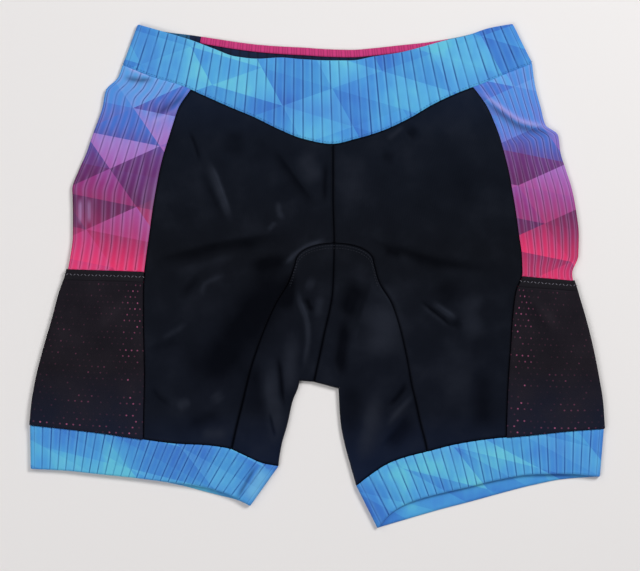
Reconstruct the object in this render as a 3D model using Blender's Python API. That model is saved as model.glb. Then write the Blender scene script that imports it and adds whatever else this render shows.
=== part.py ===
"""Cycling shorts lying flat on their back, front up, as solids of cloth.

Frame: +X across the garment, +Y towards the waist, +Z up, z = 0 on the surface it lies on.
Tables and sizes are in millimetres and the meshes in metres. "left" is -X, "right" is +X.
Every panel is a wall of cloth on a grid of points: rows run from the waist to the hem,
columns run round the garment. The lower layer rests on the surface, the upper layer lies on it,
and the panels that go round a fold bend there in a half circle.
"""

import math
from collections import namedtuple

import bmesh
import bpy
import numpy as np

MM = 0.001

# Driving dimensions of the cloth and its layers
WALL = 1.2
SEAM_GAP = 0.3
LOWER_MID = WALL / 2
UPPER_MID = 4.2
POCKET_LIFT = WALL + SEAM_GAP
TAPE_WALL = 1.0
RIB_PITCH = 8.0
RIB_RISE = 0.22
BEND_ANGLES = (45.0, 0.0)

# Widths across, as the x of the left and right ends
LIP_ENDS = (-157.0, 171.5)
WAIST_SEAM_ENDS = (-170.0, 188.5)
HEM_SEAM_ENDS = {"left": (-251.5, -34.5), "right": (251.5, 35.0)}
HEM_EDGE_ENDS = {"left": (-251.0, -59.0), "right": (248.0, 53.5)}

# How far the front waistband and the seams of the back reach
BAND_TURN = 0.035
TAPE_SPAN = (0.164, 0.83)
TAPE_HEIGHT = 6.0
BACK_BAND_HEIGHT = 46.0
BACK_SEAM_SHIFT = 6.0
BACK_LEG_SHIFT = 18.0

# The inner-leg panels: top and side of the arc in front and at the back, and the crotch
CROTCH = {"left": (-15.0, -91.5), "centre": (-2.5, -92.5), "right": (19.5, -98.5)}
Arc = namedtuple("Arc", "top side")
FRONT_ARC = Arc(29.0, 12.5)
BACK_ARC = Arc(4.0, -12.0)

# Shares of a panel's length that the arc takes, and the steps of the rows along its seams
PANEL_ARC_SPAN = (0.34, 0.46)
INNER_ARC_SPAN = 0.25
CENTRE_STEPS = 5
ARC_STEPS = 3
LEG_STEPS = 6

# Steps of the columns round the garment
BACK_BAND_STEPS = 24
BAND_ROW_STEPS = 4
FRONT_PANEL_STEPS = 14
BACK_PANEL_STEPS = 12
INNER_LEG_STEPS = {"front": 7, "back": 5}
SIDE_BACK_STEPS = 3
HEM_ROW_STEPS = 3
HEM_BACK_STEPS = 24
POCKET_COLUMN_STEP = 4

# Shares of a band's width that each bend at its folds takes
WAIST_BEND = 0.008
HEM_BEND = 0.013

# Heights between which the seams along the garment meet the waist seam and the hem seams
WAIST_SEARCH = (100.0, 186.0)
HEM_SEARCH = (-184.0, -100.0)

# Pocket top edge, y at the side seam and at the outer fold, and the height of its binding
POCKET_TOP = {"left": (3.3, 5.5), "right": (-0.5, -4.5)}
BINDING_HEIGHT = 9.0
SIDE_WIDTH = 66.0
CARRIED_EASING = 30.0

# The waistband, a row for each station across from left (0) to right (1)
WaistRow = namedtuple("WaistRow", "across back_lip front_lip front_seam back_seam")
WAIST = (
    WaistRow(0.00, 220.5, 220.5, 185.0, 185.0),
    WaistRow(0.07, 214.5, 214.0, 175.0, 178.0),
    WaistRow(0.14, 211.5, 207.0, 167.5, 171.0),
    WaistRow(0.20, 208.5, 199.5, 158.0, 166.0),
    WaistRow(0.26, 205.5, 192.5, 148.5, 161.5),
    WaistRow(0.32, 203.0, 190.5, 139.5, 158.0),
    WaistRow(0.38, 201.5, 191.5, 129.0, 155.0),
    WaistRow(0.44, 200.5, 190.0, 120.5, 153.0),
    WaistRow(0.51, 199.0, 189.0, 116.0, 152.0),
    WaistRow(0.57, 198.5, 189.0, 120.5, 152.5),
    WaistRow(0.63, 200.0, 192.5, 127.0, 154.0),
    WaistRow(0.70, 202.5, 196.0, 138.5, 157.0),
    WaistRow(0.76, 204.5, 201.0, 151.0, 160.5),
    WaistRow(0.82, 207.5, 206.5, 161.0, 165.0),
    WaistRow(0.88, 211.5, 211.0, 169.0, 171.0),
    WaistRow(0.94, 217.5, 217.5, 178.0, 178.5),
    WaistRow(1.00, 221.0, 221.0, 186.5, 186.5),
)

# The sides, a row for each height: x of the outer folds and of the front side seams
SideRow = namedtuple("SideRow", "y left_fold left_seam right_seam right_fold")
SIDES = (
    SideRow(186.0, -170.0, -97.0, 122.0, 188.5),
    SideRow(174.0, -174.5, -104.0, 130.0, 190.0),
    SideRow(163.0, -185.0, -111.5, 139.5, 192.0),
    SideRow(148.0, -188.0, -121.5, 150.0, 196.0),
    SideRow(132.0, -193.5, -127.0, 157.0, 200.5),
    SideRow(124.0, -196.5, -129.5, 160.0, 211.0),
    SideRow(108.0, -202.0, -134.5, 164.5, 213.5),
    SideRow(92.0, -209.0, -138.5, 168.5, 218.5),
    SideRow(76.0, -214.5, -141.5, 171.5, 223.5),
    SideRow(58.0, -214.0, -144.5, 174.5, 227.0),
    SideRow(36.0, -214.0, -147.5, 177.5, 229.5),
    SideRow(18.0, -216.0, -150.0, 180.0, 229.0),
    SideRow(2.0, -219.0, -152.0, 180.5, 223.5),
    SideRow(-14.0, -224.5, -153.0, 175.0, 227.5),
    SideRow(-38.0, -231.0, -153.0, 172.0, 234.5),
    SideRow(-62.0, -238.0, -152.5, 170.5, 240.5),
    SideRow(-87.0, -244.5, -152.0, 168.7, 245.5),
    SideRow(-112.0, -249.0, -152.5, 167.5, 249.5),
    SideRow(-134.0, -251.0, -153.0, 166.8, 251.0),
)

# The inner legs, a row for each height: x of the front leg seams and of the inner folds
LegRow = namedtuple("LegRow", "y left_seam left_inner right_inner right_seam")
LEGS = (
    LegRow(12.5, -18.5, -15.0, 19.5, 49.5),
    LegRow(-4.0, -24.0, -15.0, 19.5, 54.0),
    LegRow(-25.0, -36.0, -15.0, 19.5, 66.0),
    LegRow(-50.0, -47.0, -15.0, 19.5, 74.0),
    LegRow(-75.0, -56.0, -15.0, 19.5, 79.5),
    LegRow(-95.0, -61.5, -16.5, 19.5, 83.0),
    LegRow(-110.0, -65.0, -22.0, 20.0, 86.5),
    LegRow(-130.0, -70.0, -26.5, 21.5, 91.0),
    LegRow(-150.0, -74.5, -32.0, 25.5, 96.0),
    LegRow(-168.0, -78.0, -34.5, 30.5, 99.0),
    LegRow(-184.0, -81.0, -35.0, 35.0, 101.0),
)

# The centre seam, front and back
CentreRow = namedtuple("CentreRow", "y x")
CENTRE = (
    CentreRow(155.0, 14.0),
    CentreRow(67.0, 14.0),
    CentreRow(29.0, 15.0),
    CentreRow(-10.0, 14.0),
    CentreRow(-55.0, 5.5),
    CentreRow(-92.5, -2.5),
)

# The hem bands, a row for each station from the outer fold (0) to the inner fold (1):
# y of the seam, of the front edge and of the back edge, left leg and right leg
HemRow = namedtuple("HemRow", "across left_seam left_front left_back right_seam right_front right_back")
HEMS = (
    HemRow(0.00, -131.0, -169.0, -169.0, -134.0, -176.0, -176.0),
    HemRow(0.15, -134.5, -170.5, -170.5, -136.5, -173.5, -178.0),
    HemRow(0.30, -138.5, -173.5, -173.5, -140.0, -174.0, -183.5),
    HemRow(0.45, -143.5, -176.5, -176.5, -143.0, -178.5, -191.0),
    HemRow(0.60, -147.5, -180.0, -180.5, -148.0, -185.5, -199.0),
    HemRow(0.70, -148.5, -182.5, -184.5, -153.5, -190.0, -204.0),
    HemRow(0.80, -151.5, -185.5, -189.5, -159.0, -195.0, -209.5),
    HemRow(0.87, -158.0, -189.5, -193.0, -164.5, -200.0, -213.5),
    HemRow(0.94, -164.5, -195.0, -196.5, -174.0, -208.0, -217.5),
    HemRow(1.00, -167.0, -201.5, -201.5, -184.0, -221.0, -221.0),
)

# Folds of the upper layer: a ridge (rise over 0) or a hollow along a line, with its half width
FoldRow = namedtuple("FoldRow", "x0 y0 x1 y1 rise half_width")
FOLDS = (
    FoldRow(-146.0, 8.0, -95.0, 24.0, -0.8, 8.0),
    FoldRow(-95.0, 24.0, -43.0, 31.0, -0.8, 8.0),
    FoldRow(42.0, 31.0, 103.0, 15.0, -0.8, 8.0),
    FoldRow(103.0, 15.0, 170.0, 1.0, -0.7, 8.0),
    FoldRow(-15.0, 14.0, -69.0, -48.0, -1.3, 17.0),
    FoldRow(-69.0, -48.0, -129.0, -103.0, -1.0, 15.0),
    FoldRow(-143.0, -68.0, -101.0, -6.0, 1.1, 10.0),
    FoldRow(-111.0, 125.0, -101.0, 88.0, 0.8, 8.0),
    FoldRow(-98.0, 105.0, -73.0, 42.0, 1.0, 9.0),
    FoldRow(-31.0, 111.0, 5.0, 60.0, -0.8, 8.0),
    FoldRow(49.0, -2.0, 21.0, -44.0, -1.2, 10.0),
    FoldRow(21.0, -44.0, 17.0, -81.0, -1.0, 9.0),
    FoldRow(54.0, -2.0, 40.0, -50.0, 1.0, 9.0),
    FoldRow(31.0, -53.0, 49.0, -86.0, -0.8, 9.0),
    FoldRow(82.0, -95.0, 56.0, -153.0, -0.8, 10.0),
    FoldRow(86.0, -20.0, 123.0, -46.0, 0.7, 9.0),
    FoldRow(144.0, -65.0, 144.0, -150.0, -0.8, 9.0),
    FoldRow(-148.0, -89.0, -129.0, -137.0, -0.7, 8.0),
    FoldRow(-111.0, 164.0, -142.0, 142.0, -0.7, 8.0),
    FoldRow(-17.0, 0.0, -7.0, -32.0, -0.8, 9.0),
)


class Curve:
    """A smooth curve through a table's column that never overshoots its rows."""

    def __init__(self, stations, values):
        order = np.argsort(stations)
        self.stations = np.asarray(stations, float)[order]
        self.values = np.asarray(values, float)[order]
        steps = np.diff(self.stations)
        rises = np.diff(self.values) / steps
        self.slopes = np.zeros(len(self.stations))
        self.slopes[0], self.slopes[-1] = rises[0], rises[-1]
        for i in range(1, len(rises)):
            if rises[i - 1] * rises[i] > 0:
                before = 2 * steps[i] + steps[i - 1]
                after = steps[i] + 2 * steps[i - 1]
                self.slopes[i] = (before + after) / (before / rises[i - 1] + after / rises[i])

    def __call__(self, at):
        at = min(max(at, self.stations[0]), self.stations[-1])
        i = int(np.clip(np.searchsorted(self.stations, at) - 1, 0, len(self.stations) - 2))
        step = self.stations[i + 1] - self.stations[i]
        t = (at - self.stations[i]) / step
        keep = (1 + 2 * t) * (1 - t) ** 2
        return (
            keep * self.values[i]
            + (1 - keep) * self.values[i + 1]
            + step * t * (1 - t) ** 2 * self.slopes[i]
            - step * t * t * (1 - t) * self.slopes[i + 1]
        )


def column(table, key, name):
    """A table's column as a curve over its first column."""
    return Curve([getattr(row, key) for row in table], [getattr(row, name) for row in table])


def mix(a, b, t):
    return a + (b - a) * t


class Across:
    """An edge across the garment: x runs between two ends, y follows a table's column."""

    def __init__(self, ends, curve):
        self.ends = ends
        self.curve = curve

    def at(self, share):
        return np.array([mix(*self.ends, share), self.curve(share)])

    def height(self, x):
        return self.curve((x - self.ends[0]) / (self.ends[1] - self.ends[0]))

    def between(self, start_x, end_x):
        return lambda s: np.array([mix(start_x, end_x, s), self.height(mix(start_x, end_x, s))])


WAIST_EDGES = {
    "back_lip": Across(LIP_ENDS, column(WAIST, "across", "back_lip")),
    "front_lip": Across(LIP_ENDS, column(WAIST, "across", "front_lip")),
    "front_seam": Across(WAIST_SEAM_ENDS, column(WAIST, "across", "front_seam")),
    "back_seam": Across(WAIST_SEAM_ENDS, column(WAIST, "across", "back_seam")),
}
HEM_SEAMS = {
    hand: Across(HEM_SEAM_ENDS[hand], column(HEMS, "across", f"{hand}_seam"))
    for hand in ("left", "right")
}
HEM_EDGES = {
    (hand, layer): Across(HEM_EDGE_ENDS[hand], column(HEMS, "across", f"{hand}_{layer}"))
    for hand in ("left", "right")
    for layer in ("front", "back")
}
SIDE_SEAMS = {hand: column(SIDES, "y", f"{hand}_seam") for hand in ("left", "right")}
OUTER_FOLDS = {hand: column(SIDES, "y", f"{hand}_fold") for hand in ("left", "right")}
LEG_SEAMS = {hand: column(LEGS, "y", f"{hand}_seam") for hand in ("left", "right")}
INNER_FOLDS = {hand: column(LEGS, "y", f"{hand}_inner") for hand in ("left", "right")}
CENTRE_SEAM = column(CENTRE, "y", "x")
OUTWARD = {"left": -1.0, "right": 1.0}


def side_seam(hand, layer):
    """x of a side seam at a height; the back one lies nearer the outer fold."""
    shift = BACK_SEAM_SHIFT * OUTWARD[hand] if layer == "back" else 0.0
    return lambda y: SIDE_SEAMS[hand](y) + shift


def leg_seam(hand, layer):
    """x of an inner-leg panel's seam at a height; the back one lies nearer the inner fold."""
    shift = -BACK_LEG_SHIFT * OUTWARD[hand] if layer == "back" else 0.0
    return lambda y: LEG_SEAMS[hand](y) + shift


def down(curve, top, bottom):
    """An edge along the garment, from one height to a lower one."""
    return lambda s: np.array([curve(mix(top, bottom, s)), mix(top, bottom, s)])


def line(start, end):
    return lambda s: mix(np.asarray(start, float), np.asarray(end, float), s)


def chain(*parts):
    """Edges in a row, each from its own share of the whole to the next one's."""

    def edge(s):
        for i, (begin, part) in enumerate(parts):
            end = parts[i + 1][0] if i + 1 < len(parts) else 1.0
            if s <= end or i + 1 == len(parts):
                return part((s - begin) / (end - begin))

    return edge


def crossing(curve, across, search):
    """Height where an edge along the garment meets one across it."""
    low, high = search
    for _ in range(60):
        middle = (low + high) / 2
        if across.height(curve(middle)) > middle:
            low = middle
        else:
            high = middle
    return (low + high) / 2


Patch = namedtuple("Patch", "start end top bottom")


def patch_point(patch, u, v):
    """A straight row between the two side edges, bowed as the top and bottom edges are."""
    straight = mix(patch.start(v), patch.end(v), u)
    top_bow = patch.top(u) - mix(patch.top(0.0), patch.top(1.0), u)
    bottom_bow = patch.bottom(u) - mix(patch.bottom(0.0), patch.bottom(1.0), u)
    return straight + top_bow * (1 - v) ** 3 + bottom_bow * v**3


def upper_height(point):
    """Height of the upper layer's middle over the surface, with its folds."""
    height = UPPER_MID
    for fold in FOLDS:
        start = np.array([fold.x0, fold.y0])
        along = np.array([fold.x1, fold.y1]) - start
        share = np.clip(np.dot(point - start, along) / np.dot(along, along), 0.0, 1.0)
        distance = np.linalg.norm(point - start - share * along)
        height += fold.rise * math.exp(-((distance / fold.half_width) ** 2))
    return height


def lower_height(point):
    return LOWER_MID


def carried_height(hand):
    """Lower layer of a side panel: it rises where the pocket lies under it."""

    def height(point):
        above = (point[1] - max(POCKET_TOP[hand])) / CARRIED_EASING
        ease = np.clip(1.0 - above, 0.0, 1.0)
        return LOWER_MID + POCKET_LIFT * ease * ease * (3 - 2 * ease)

    return height


def wrap_row(front, back, v, lower, front_shares, back_shares):
    """One row round a fold: the front half from its seam to the fold, then the back half."""
    fold = front.end(v)
    radius = (upper_height(fold) - lower(fold)) / 2
    row = []
    for patch, shares, sign in ((front, front_shares, 1.0), (back, back_shares, -1.0)):
        width = np.linalg.norm(patch_point(patch, 0.0, v) - patch_point(patch, 1.0, v))
        half = []
        for share in shares:
            half.append((share * (1 - radius / width), 90.0))
        for angle in BEND_ANGLES:
            half.append((1 - radius * (1 - math.cos(math.radians(angle))) / width, angle))
        points = []
        for u, angle in half:
            point = patch_point(patch, u, v)
            upper, under = upper_height(point), lower(point)
            lift = sign * (upper - under) / 2 * math.sin(math.radians(angle))
            points.append((*point, (upper + under) / 2 + lift))
        row.extend(points if sign > 0 else points[-2::-1])
    return row


def flat_grid(patch, height, us, vs):
    """A grid of points on one layer."""
    grid = []
    for v in vs:
        row = [patch_point(patch, u, v) for u in us]
        grid.append([(*point, height(point)) for point in row])
    return np.array(grid)


def outward_normals(grid, closed, outward):
    """Unit normal at each grid point, on the garment's outer side.

    outward is (column, sign): on that column the outer side has that sign of z.
    """
    if closed:
        across = np.roll(grid, -1, axis=1) - np.roll(grid, 1, axis=1)
    else:
        across = np.gradient(grid, axis=1)
    along = np.gradient(grid, axis=0)
    normal = np.cross(across, along)
    where, sign = outward
    if normal[len(grid) // 2, where, 2] * sign < 0:
        normal = -normal
    return normal / np.linalg.norm(normal, axis=2, keepdims=True)


def inset(grid, sides):
    """Draw the grid's seam edges in by half the seam gap, square to the edge."""
    grid = grid.copy()
    source = grid.copy()
    views = {
        "top": (source, grid),
        "bottom": (source[::-1], grid[::-1]),
        "start": (source.transpose(1, 0, 2), grid.transpose(1, 0, 2)),
        "end": (source[:, ::-1].transpose(1, 0, 2), grid[:, ::-1].transpose(1, 0, 2)),
    }
    for side in sides:
        before, after = views[side]
        inward = before[1] - before[0]
        inward /= np.linalg.norm(inward, axis=1, keepdims=True)
        tangent = np.gradient(before[0], axis=0)
        tangent /= np.linalg.norm(tangent, axis=1, keepdims=True)
        lean = np.sqrt(1 - np.sum(inward * tangent, axis=1) ** 2)
        after[0] += inward * (SEAM_GAP / 2) / np.maximum(lean, 0.4)[:, None]
    return grid


def material(name, colour, roughness):
    """A Principled material from an sRGB hex colour."""
    surface = bpy.data.materials.new(name)
    surface.use_nodes = True
    shader = surface.node_tree.nodes["Principled BSDF"]
    channels = [int(colour[i:i + 2], 16) / 255 for i in (1, 3, 5)]
    linear = [c / 12.92 if c <= 0.04045 else ((c + 0.055) / 1.055) ** 2.4 for c in channels]
    shader.inputs["Base Color"].default_value = (*linear, 1.0)
    shader.inputs["Roughness"].default_value = roughness
    shader.inputs["Metallic"].default_value = 0.0
    return surface


def cloth_solid(name, grid, finish, outward, closed=False, wall=WALL, ribs=None):
    """A closed wall of cloth round a grid of middle points, ribbed on its outer side."""
    normal = outward_normals(grid, closed, outward)
    raised = np.zeros(grid.shape[:2]) if ribs is None else ribs
    outer = grid + normal * (wall / 2 + raised)[:, :, None]
    inner = grid - normal * (wall / 2)
    rows, columns = grid.shape[:2]
    mesh = bmesh.new()
    shells = [
        [[mesh.verts.new(point * MM) for point in row] for row in shell]
        for shell in (outer, inner)
    ]
    last = columns if closed else columns - 1
    for shell in shells:
        for i in range(rows - 1):
            for j in range(last):
                k = (j + 1) % columns
                mesh.faces.new((shell[i][j], shell[i][k], shell[i + 1][k], shell[i + 1][j]))
    top, under = shells
    for i in (0, rows - 1):
        for j in range(last):
            k = (j + 1) % columns
            mesh.faces.new((top[i][j], top[i][k], under[i][k], under[i][j]))
    if not closed:
        for j in (0, columns - 1):
            for i in range(rows - 1):
                mesh.faces.new((top[i][j], top[i + 1][j], under[i + 1][j], under[i][j]))
    bmesh.ops.recalc_face_normals(mesh, faces=mesh.faces)
    data = bpy.data.meshes.new(name)
    mesh.to_mesh(data)
    mesh.free()
    data.materials.append(finish)
    solid = bpy.data.objects.new(name, data)
    bpy.context.collection.objects.link(solid)
    return solid


def steps(count):
    return [i / count for i in range(count + 1)]


def rib_wave(count_columns, first, last):
    """Rise of each column between two of them: up on a crown, down in a groove."""
    wave = np.zeros(count_columns)
    for j in range(first, last + 1):
        wave[j] = RIB_RISE if (j - first) % 2 else -RIB_RISE
    return wave


def band_row(edges, v, stations):
    """One row of a band between an upper and a lower edge, flat or bending at the folds.

    A station is (share across, end, angle, layer): end is None on the flat, or the fold (0 or 1)
    whose bend the station lies in.
    """
    row = []
    left, right = (mix(edges["front"][0].at(e), edges["front"][1].at(e), v) for e in (0.0, 1.0))
    width = np.linalg.norm(right - left)
    for share, end, angle, layer in stations:
        if end is not None:
            fold = left if end == 0.0 else right
            radius = (upper_height(fold) - LOWER_MID) / 2
            turned = radius * (1 - math.cos(math.radians(angle))) / width
            share = turned if end == 0.0 else 1 - turned
        upper_edge, lower_edge = edges[layer]
        point = mix(upper_edge.at(share), lower_edge.at(share), v)
        upper = upper_height(point)
        sign = 1.0 if layer == "front" else -1.0
        lift = sign * (upper - LOWER_MID) / 2 * math.sin(math.radians(angle))
        row.append((*point, (upper + LOWER_MID) / 2 + lift))
    return row


def bend_stations(end, going_up):
    """Stations round a fold, from the back layer to the front one or the other way."""
    back = [(0.0, end, angle, "back") for angle in (90.0, *BEND_ANGLES[:-1])]
    front = [(0.0, end, angle, "front") for angle in (*BEND_ANGLES[::-1], 90.0)]
    stations = back + front
    return stations if going_up else stations[::-1]


def flat_stations(layer, start, end, count):
    """Stations on the flat between two shares, both left out."""
    return [(mix(start, end, i / count), None, 90.0, layer) for i in range(1, count)]


def build_waistband(finishes):
    """The front band with its turned ends, the back band between them, and the tape on it."""
    edges = {
        "front": (WAIST_EDGES["front_lip"], WAIST_EDGES["front_seam"]),
        "back": (WAIST_EDGES["back_lip"], WAIST_EDGES["back_seam"]),
    }
    rib_count = round((LIP_ENDS[1] - LIP_ENDS[0]) / RIB_PITCH)
    front = flat_stations("front", WAIST_BEND, 1 - WAIST_BEND, 2 * rib_count)
    stations = (
        [(BAND_TURN, None, 90.0, "back")]
        + bend_stations(0.0, True)
        + front
        + bend_stations(1.0, False)
        + [(1 - BAND_TURN, None, 90.0, "back")]
    )
    rows = [band_row(edges, v, stations) for v in steps(BAND_ROW_STEPS)]
    grid = inset(np.array(rows), ("bottom", "start", "end"))
    first = 1 + len(bend_stations(0.0, True))
    wave = rib_wave(len(stations), first, first + len(front) - 1)
    ribs = np.tile(wave, (len(rows), 1))
    cloth_solid("waistband_front", grid, finishes["sky"], (len(stations) // 2, 1.0), ribs=ribs)

    shares = [mix(BAND_TURN, 1 - BAND_TURN, s) for s in steps(BACK_BAND_STEPS)]
    heights = [0.0, TAPE_HEIGHT / BACK_BAND_HEIGHT, 0.5, 1.0]
    flat = [(share, None, 90.0, "back") for share in shares]
    grid = np.array([band_row(edges, v, flat) for v in heights])
    grid = inset(grid, ("bottom", "start", "end"))
    cloth_solid("waistband_back", grid, finishes["navy"], (BACK_BAND_STEPS // 2, -1.0))

    kept = [j for j, share in enumerate(shares) if TAPE_SPAN[0] <= share <= TAPE_SPAN[1]]
    tape = grid[:2, kept[0]:kept[-1] + 1].copy()
    tape[:, :, 2] += WALL / 2 + SEAM_GAP + TAPE_WALL / 2
    cloth_solid("waist_tape", tape, finishes["pink"], (0, 1.0), wall=TAPE_WALL)


def pocket_shares(hand):
    """Shares of the side seam's length at the pocket's top edge and under its binding."""
    seam = side_seam(hand, "front")
    top = crossing(seam, WAIST_EDGES["front_seam"], WAIST_SEARCH)
    bottom = crossing(seam, HEM_SEAMS[hand], HEM_SEARCH)
    pocket = POCKET_TOP[hand][0]
    return (top - pocket) / (top - bottom), (top - pocket + BINDING_HEIGHT) / (top - bottom)


def panel_rows(hand):
    """Rows that the panels of one leg share along their seams, waist (0) to hem (1)."""
    stops = (*PANEL_ARC_SPAN, *pocket_shares(hand), 1.0)
    counts = (CENTRE_STEPS, ARC_STEPS, 1, 1, LEG_STEPS)
    rows = [0.0]
    for stop, count in zip(stops, counts):
        begin = rows[-1]
        rows += [mix(begin, stop, i / count) for i in range(1, count + 1)]
    return rows


def inner_rows(hand):
    """The same rows as shares of an inner-leg panel, which starts at the arc."""
    arc_begin, arc_end = PANEL_ARC_SPAN
    shares = [row for row in panel_rows(hand) if row > arc_begin - 1e-9]
    return [
        INNER_ARC_SPAN * (row - arc_begin) / (arc_end - arc_begin)
        if row <= arc_end
        else mix(INNER_ARC_SPAN, 1.0, (row - arc_end) / (1 - arc_end))
        for row in shares
    ]


def panel_patch(hand, layer):
    """A front or back panel: side seam, centre seam with the arc and leg seam, waist and hem."""
    seam, leg = side_seam(hand, layer), leg_seam(hand, layer)
    waist = WAIST_EDGES[f"{layer}_seam"]
    hem = HEM_SEAMS[hand]
    arc = FRONT_ARC if layer == "front" else BACK_ARC
    top, bottom = crossing(seam, waist, WAIST_SEARCH), crossing(seam, hem, HEM_SEARCH)
    centre_top = waist.height(CENTRE_SEAM(CENTRE[0].y))
    leg_bottom = crossing(leg, hem, HEM_SEARCH)
    inner = chain(
        (0.0, down(CENTRE_SEAM, centre_top, arc.top)),
        (PANEL_ARC_SPAN[0], arc_edge(hand, layer)),
        (PANEL_ARC_SPAN[1], down(leg, arc.side, leg_bottom)),
    )
    return Patch(
        down(seam, top, bottom),
        inner,
        waist.between(seam(top), CENTRE_SEAM(centre_top)),
        hem.between(seam(bottom), leg(leg_bottom)),
    )


def arc_edge(hand, layer):
    """Quarter ellipse from the centre seam out to the leg seam."""
    arc = FRONT_ARC if layer == "front" else BACK_ARC
    centre = CENTRE_SEAM(arc.top)
    reach = leg_seam(hand, layer)(arc.side) - centre

    def edge(s):
        angle = math.radians(90.0) * s
        height = arc.side + (arc.top - arc.side) * math.cos(angle)
        return np.array([centre + reach * math.sin(angle), height])

    return edge


def inner_leg_patch(hand, layer):
    """Half of an inner-leg panel: its seam, the crotch and inner fold, centre seam and hem."""
    arc = FRONT_ARC if layer == "front" else BACK_ARC
    leg, hem = leg_seam(hand, layer), HEM_SEAMS[hand]
    leg_bottom = crossing(leg, hem, HEM_SEARCH)
    corner = CROTCH[hand]
    return Patch(
        chain((0.0, arc_edge(hand, layer)), (INNER_ARC_SPAN, down(leg, arc.side, leg_bottom))),
        chain(
            (0.0, line(CROTCH["centre"], corner)),
            (INNER_ARC_SPAN, down(INNER_FOLDS[hand], corner[1], hem.at(1.0)[1])),
        ),
        down(CENTRE_SEAM, arc.top, CROTCH["centre"][1]),
        hem.between(leg(leg_bottom), HEM_SEAM_ENDS[hand][1]),
    )


def side_patch(hand, layer):
    """Half of a side panel: its seam, the outer fold, the waist seam and the hem seam."""
    seam, fold = side_seam(hand, layer), OUTER_FOLDS[hand]
    waist, hem = WAIST_EDGES[f"{layer}_seam"], HEM_SEAMS[hand]
    end = 0 if hand == "left" else 1
    top, bottom = crossing(seam, waist, WAIST_SEARCH), crossing(seam, hem, HEM_SEARCH)
    fold_pocket = POCKET_TOP[hand][1]
    heights = (waist.at(end)[1], fold_pocket, fold_pocket - BINDING_HEIGHT, hem.at(0.0)[1])
    shares = (0.0, *pocket_shares(hand), 1.0)

    def fold_edge(s):
        height = np.interp(s, shares, heights)
        return np.array([fold(height), height])

    return Patch(
        down(seam, top, bottom),
        fold_edge,
        waist.between(seam(top), WAIST_SEAM_ENDS[end]),
        hem.between(seam(bottom), HEM_SEAM_ENDS[hand][0]),
    )


def build_side(hand, finishes):
    """A side panel round the outer fold, with the pocket and its binding on its lower part."""
    front, back = side_patch(hand, "front"), side_patch(hand, "back")
    lower = carried_height(hand)
    rib_count = round(SIDE_WIDTH / RIB_PITCH)
    front_shares, back_shares = steps(2 * rib_count), steps(SIDE_BACK_STEPS)
    rows = panel_rows(hand)
    grid = np.array([wrap_row(front, back, v, lower, front_shares, back_shares) for v in rows])
    grid = inset(grid, ("top", "bottom", "start", "end"))
    pocket_row = CENTRE_STEPS + ARC_STEPS + 1
    ribs = np.zeros(grid.shape[:2])
    ribs[: pocket_row - 1] = rib_wave(grid.shape[1], 1, len(front_shares) - 1)
    cloth_solid(f"side_panel_{hand}", grid, finishes["violet"], (1, 1.0), ribs=ribs)

    normal = outward_normals(grid, False, (1, 1.0))
    flats = list(range(0, len(front_shares), POCKET_COLUMN_STEP))
    bends = list(range(len(front_shares), grid.shape[1]))
    pocket = (grid + normal * POCKET_LIFT)[pocket_row:, flats + bends]
    binding = inset(pocket[:2], ("bottom",))
    cloth_solid(f"pocket_binding_{hand}", binding, finishes["binding"], (1, 1.0))
    bag = inset(pocket[1:], ("top",))
    cloth_solid(f"pocket_{hand}", bag, finishes["mesh"], (1, 1.0))


def build_panels(hand, finishes):
    """The front and back panels of one leg, and the inner-leg panel between them."""
    rows = panel_rows(hand)
    front = flat_grid(panel_patch(hand, "front"), upper_height, steps(FRONT_PANEL_STEPS), rows)
    front = inset(front, ("top", "bottom", "start", "end"))
    cloth_solid(f"front_panel_{hand}", front, finishes["black"], (1, 1.0))
    back_columns = steps(BACK_PANEL_STEPS)
    back = flat_grid(panel_patch(hand, "back"), lower_height, back_columns, rows)
    back = inset(back, ("top", "bottom", "start", "end"))
    cloth_solid(f"back_panel_{hand}", back, finishes["black"], (1, -1.0))

    halves = inner_leg_patch(hand, "front"), inner_leg_patch(hand, "back")
    shares = steps(INNER_LEG_STEPS["front"]), steps(INNER_LEG_STEPS["back"])
    grid = [wrap_row(*halves, v, lower_height, *shares) for v in inner_rows(hand)]
    grid = inset(np.array(grid), ("top", "bottom", "start", "end"))
    cloth_solid(f"inner_leg_{hand}", grid, finishes["black"], (1, 1.0))


def build_hem_band(hand, finishes):
    """A ribbed ring round a leg, its front edge a little shorter than its back edge."""
    edges = {
        layer: (HEM_SEAMS[hand], HEM_EDGES[hand, layer]) for layer in ("front", "back")
    }
    ends = HEM_SEAM_ENDS[hand]
    rib_count = round(abs(ends[1] - ends[0]) / RIB_PITCH)
    front = flat_stations("front", HEM_BEND, 1 - HEM_BEND, 2 * rib_count)
    back = flat_stations("back", 1 - HEM_BEND, HEM_BEND, HEM_BACK_STEPS)
    stations = bend_stations(0.0, True) + front + bend_stations(1.0, False) + back
    grid = np.array([band_row(edges, v, stations) for v in steps(HEM_ROW_STEPS)])
    grid = inset_ring_top(grid)
    first = len(bend_stations(0.0, True))
    wave = rib_wave(len(stations), first, first + len(front) - 1)
    ribs = np.tile(wave, (len(grid), 1))
    middle = first + len(front) // 2
    cloth_solid(
        f"hem_band_{hand}", grid, finishes["blue"], (middle, 1.0), closed=True, ribs=ribs
    )


def inset_ring_top(grid):
    """Draw the ring's upper edge down by half the seam gap."""
    grid = grid.copy()
    inward = grid[1] - grid[0]
    inward /= np.linalg.norm(inward, axis=1, keepdims=True)
    grid[0] += inward * SEAM_GAP / 2
    return grid


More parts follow.
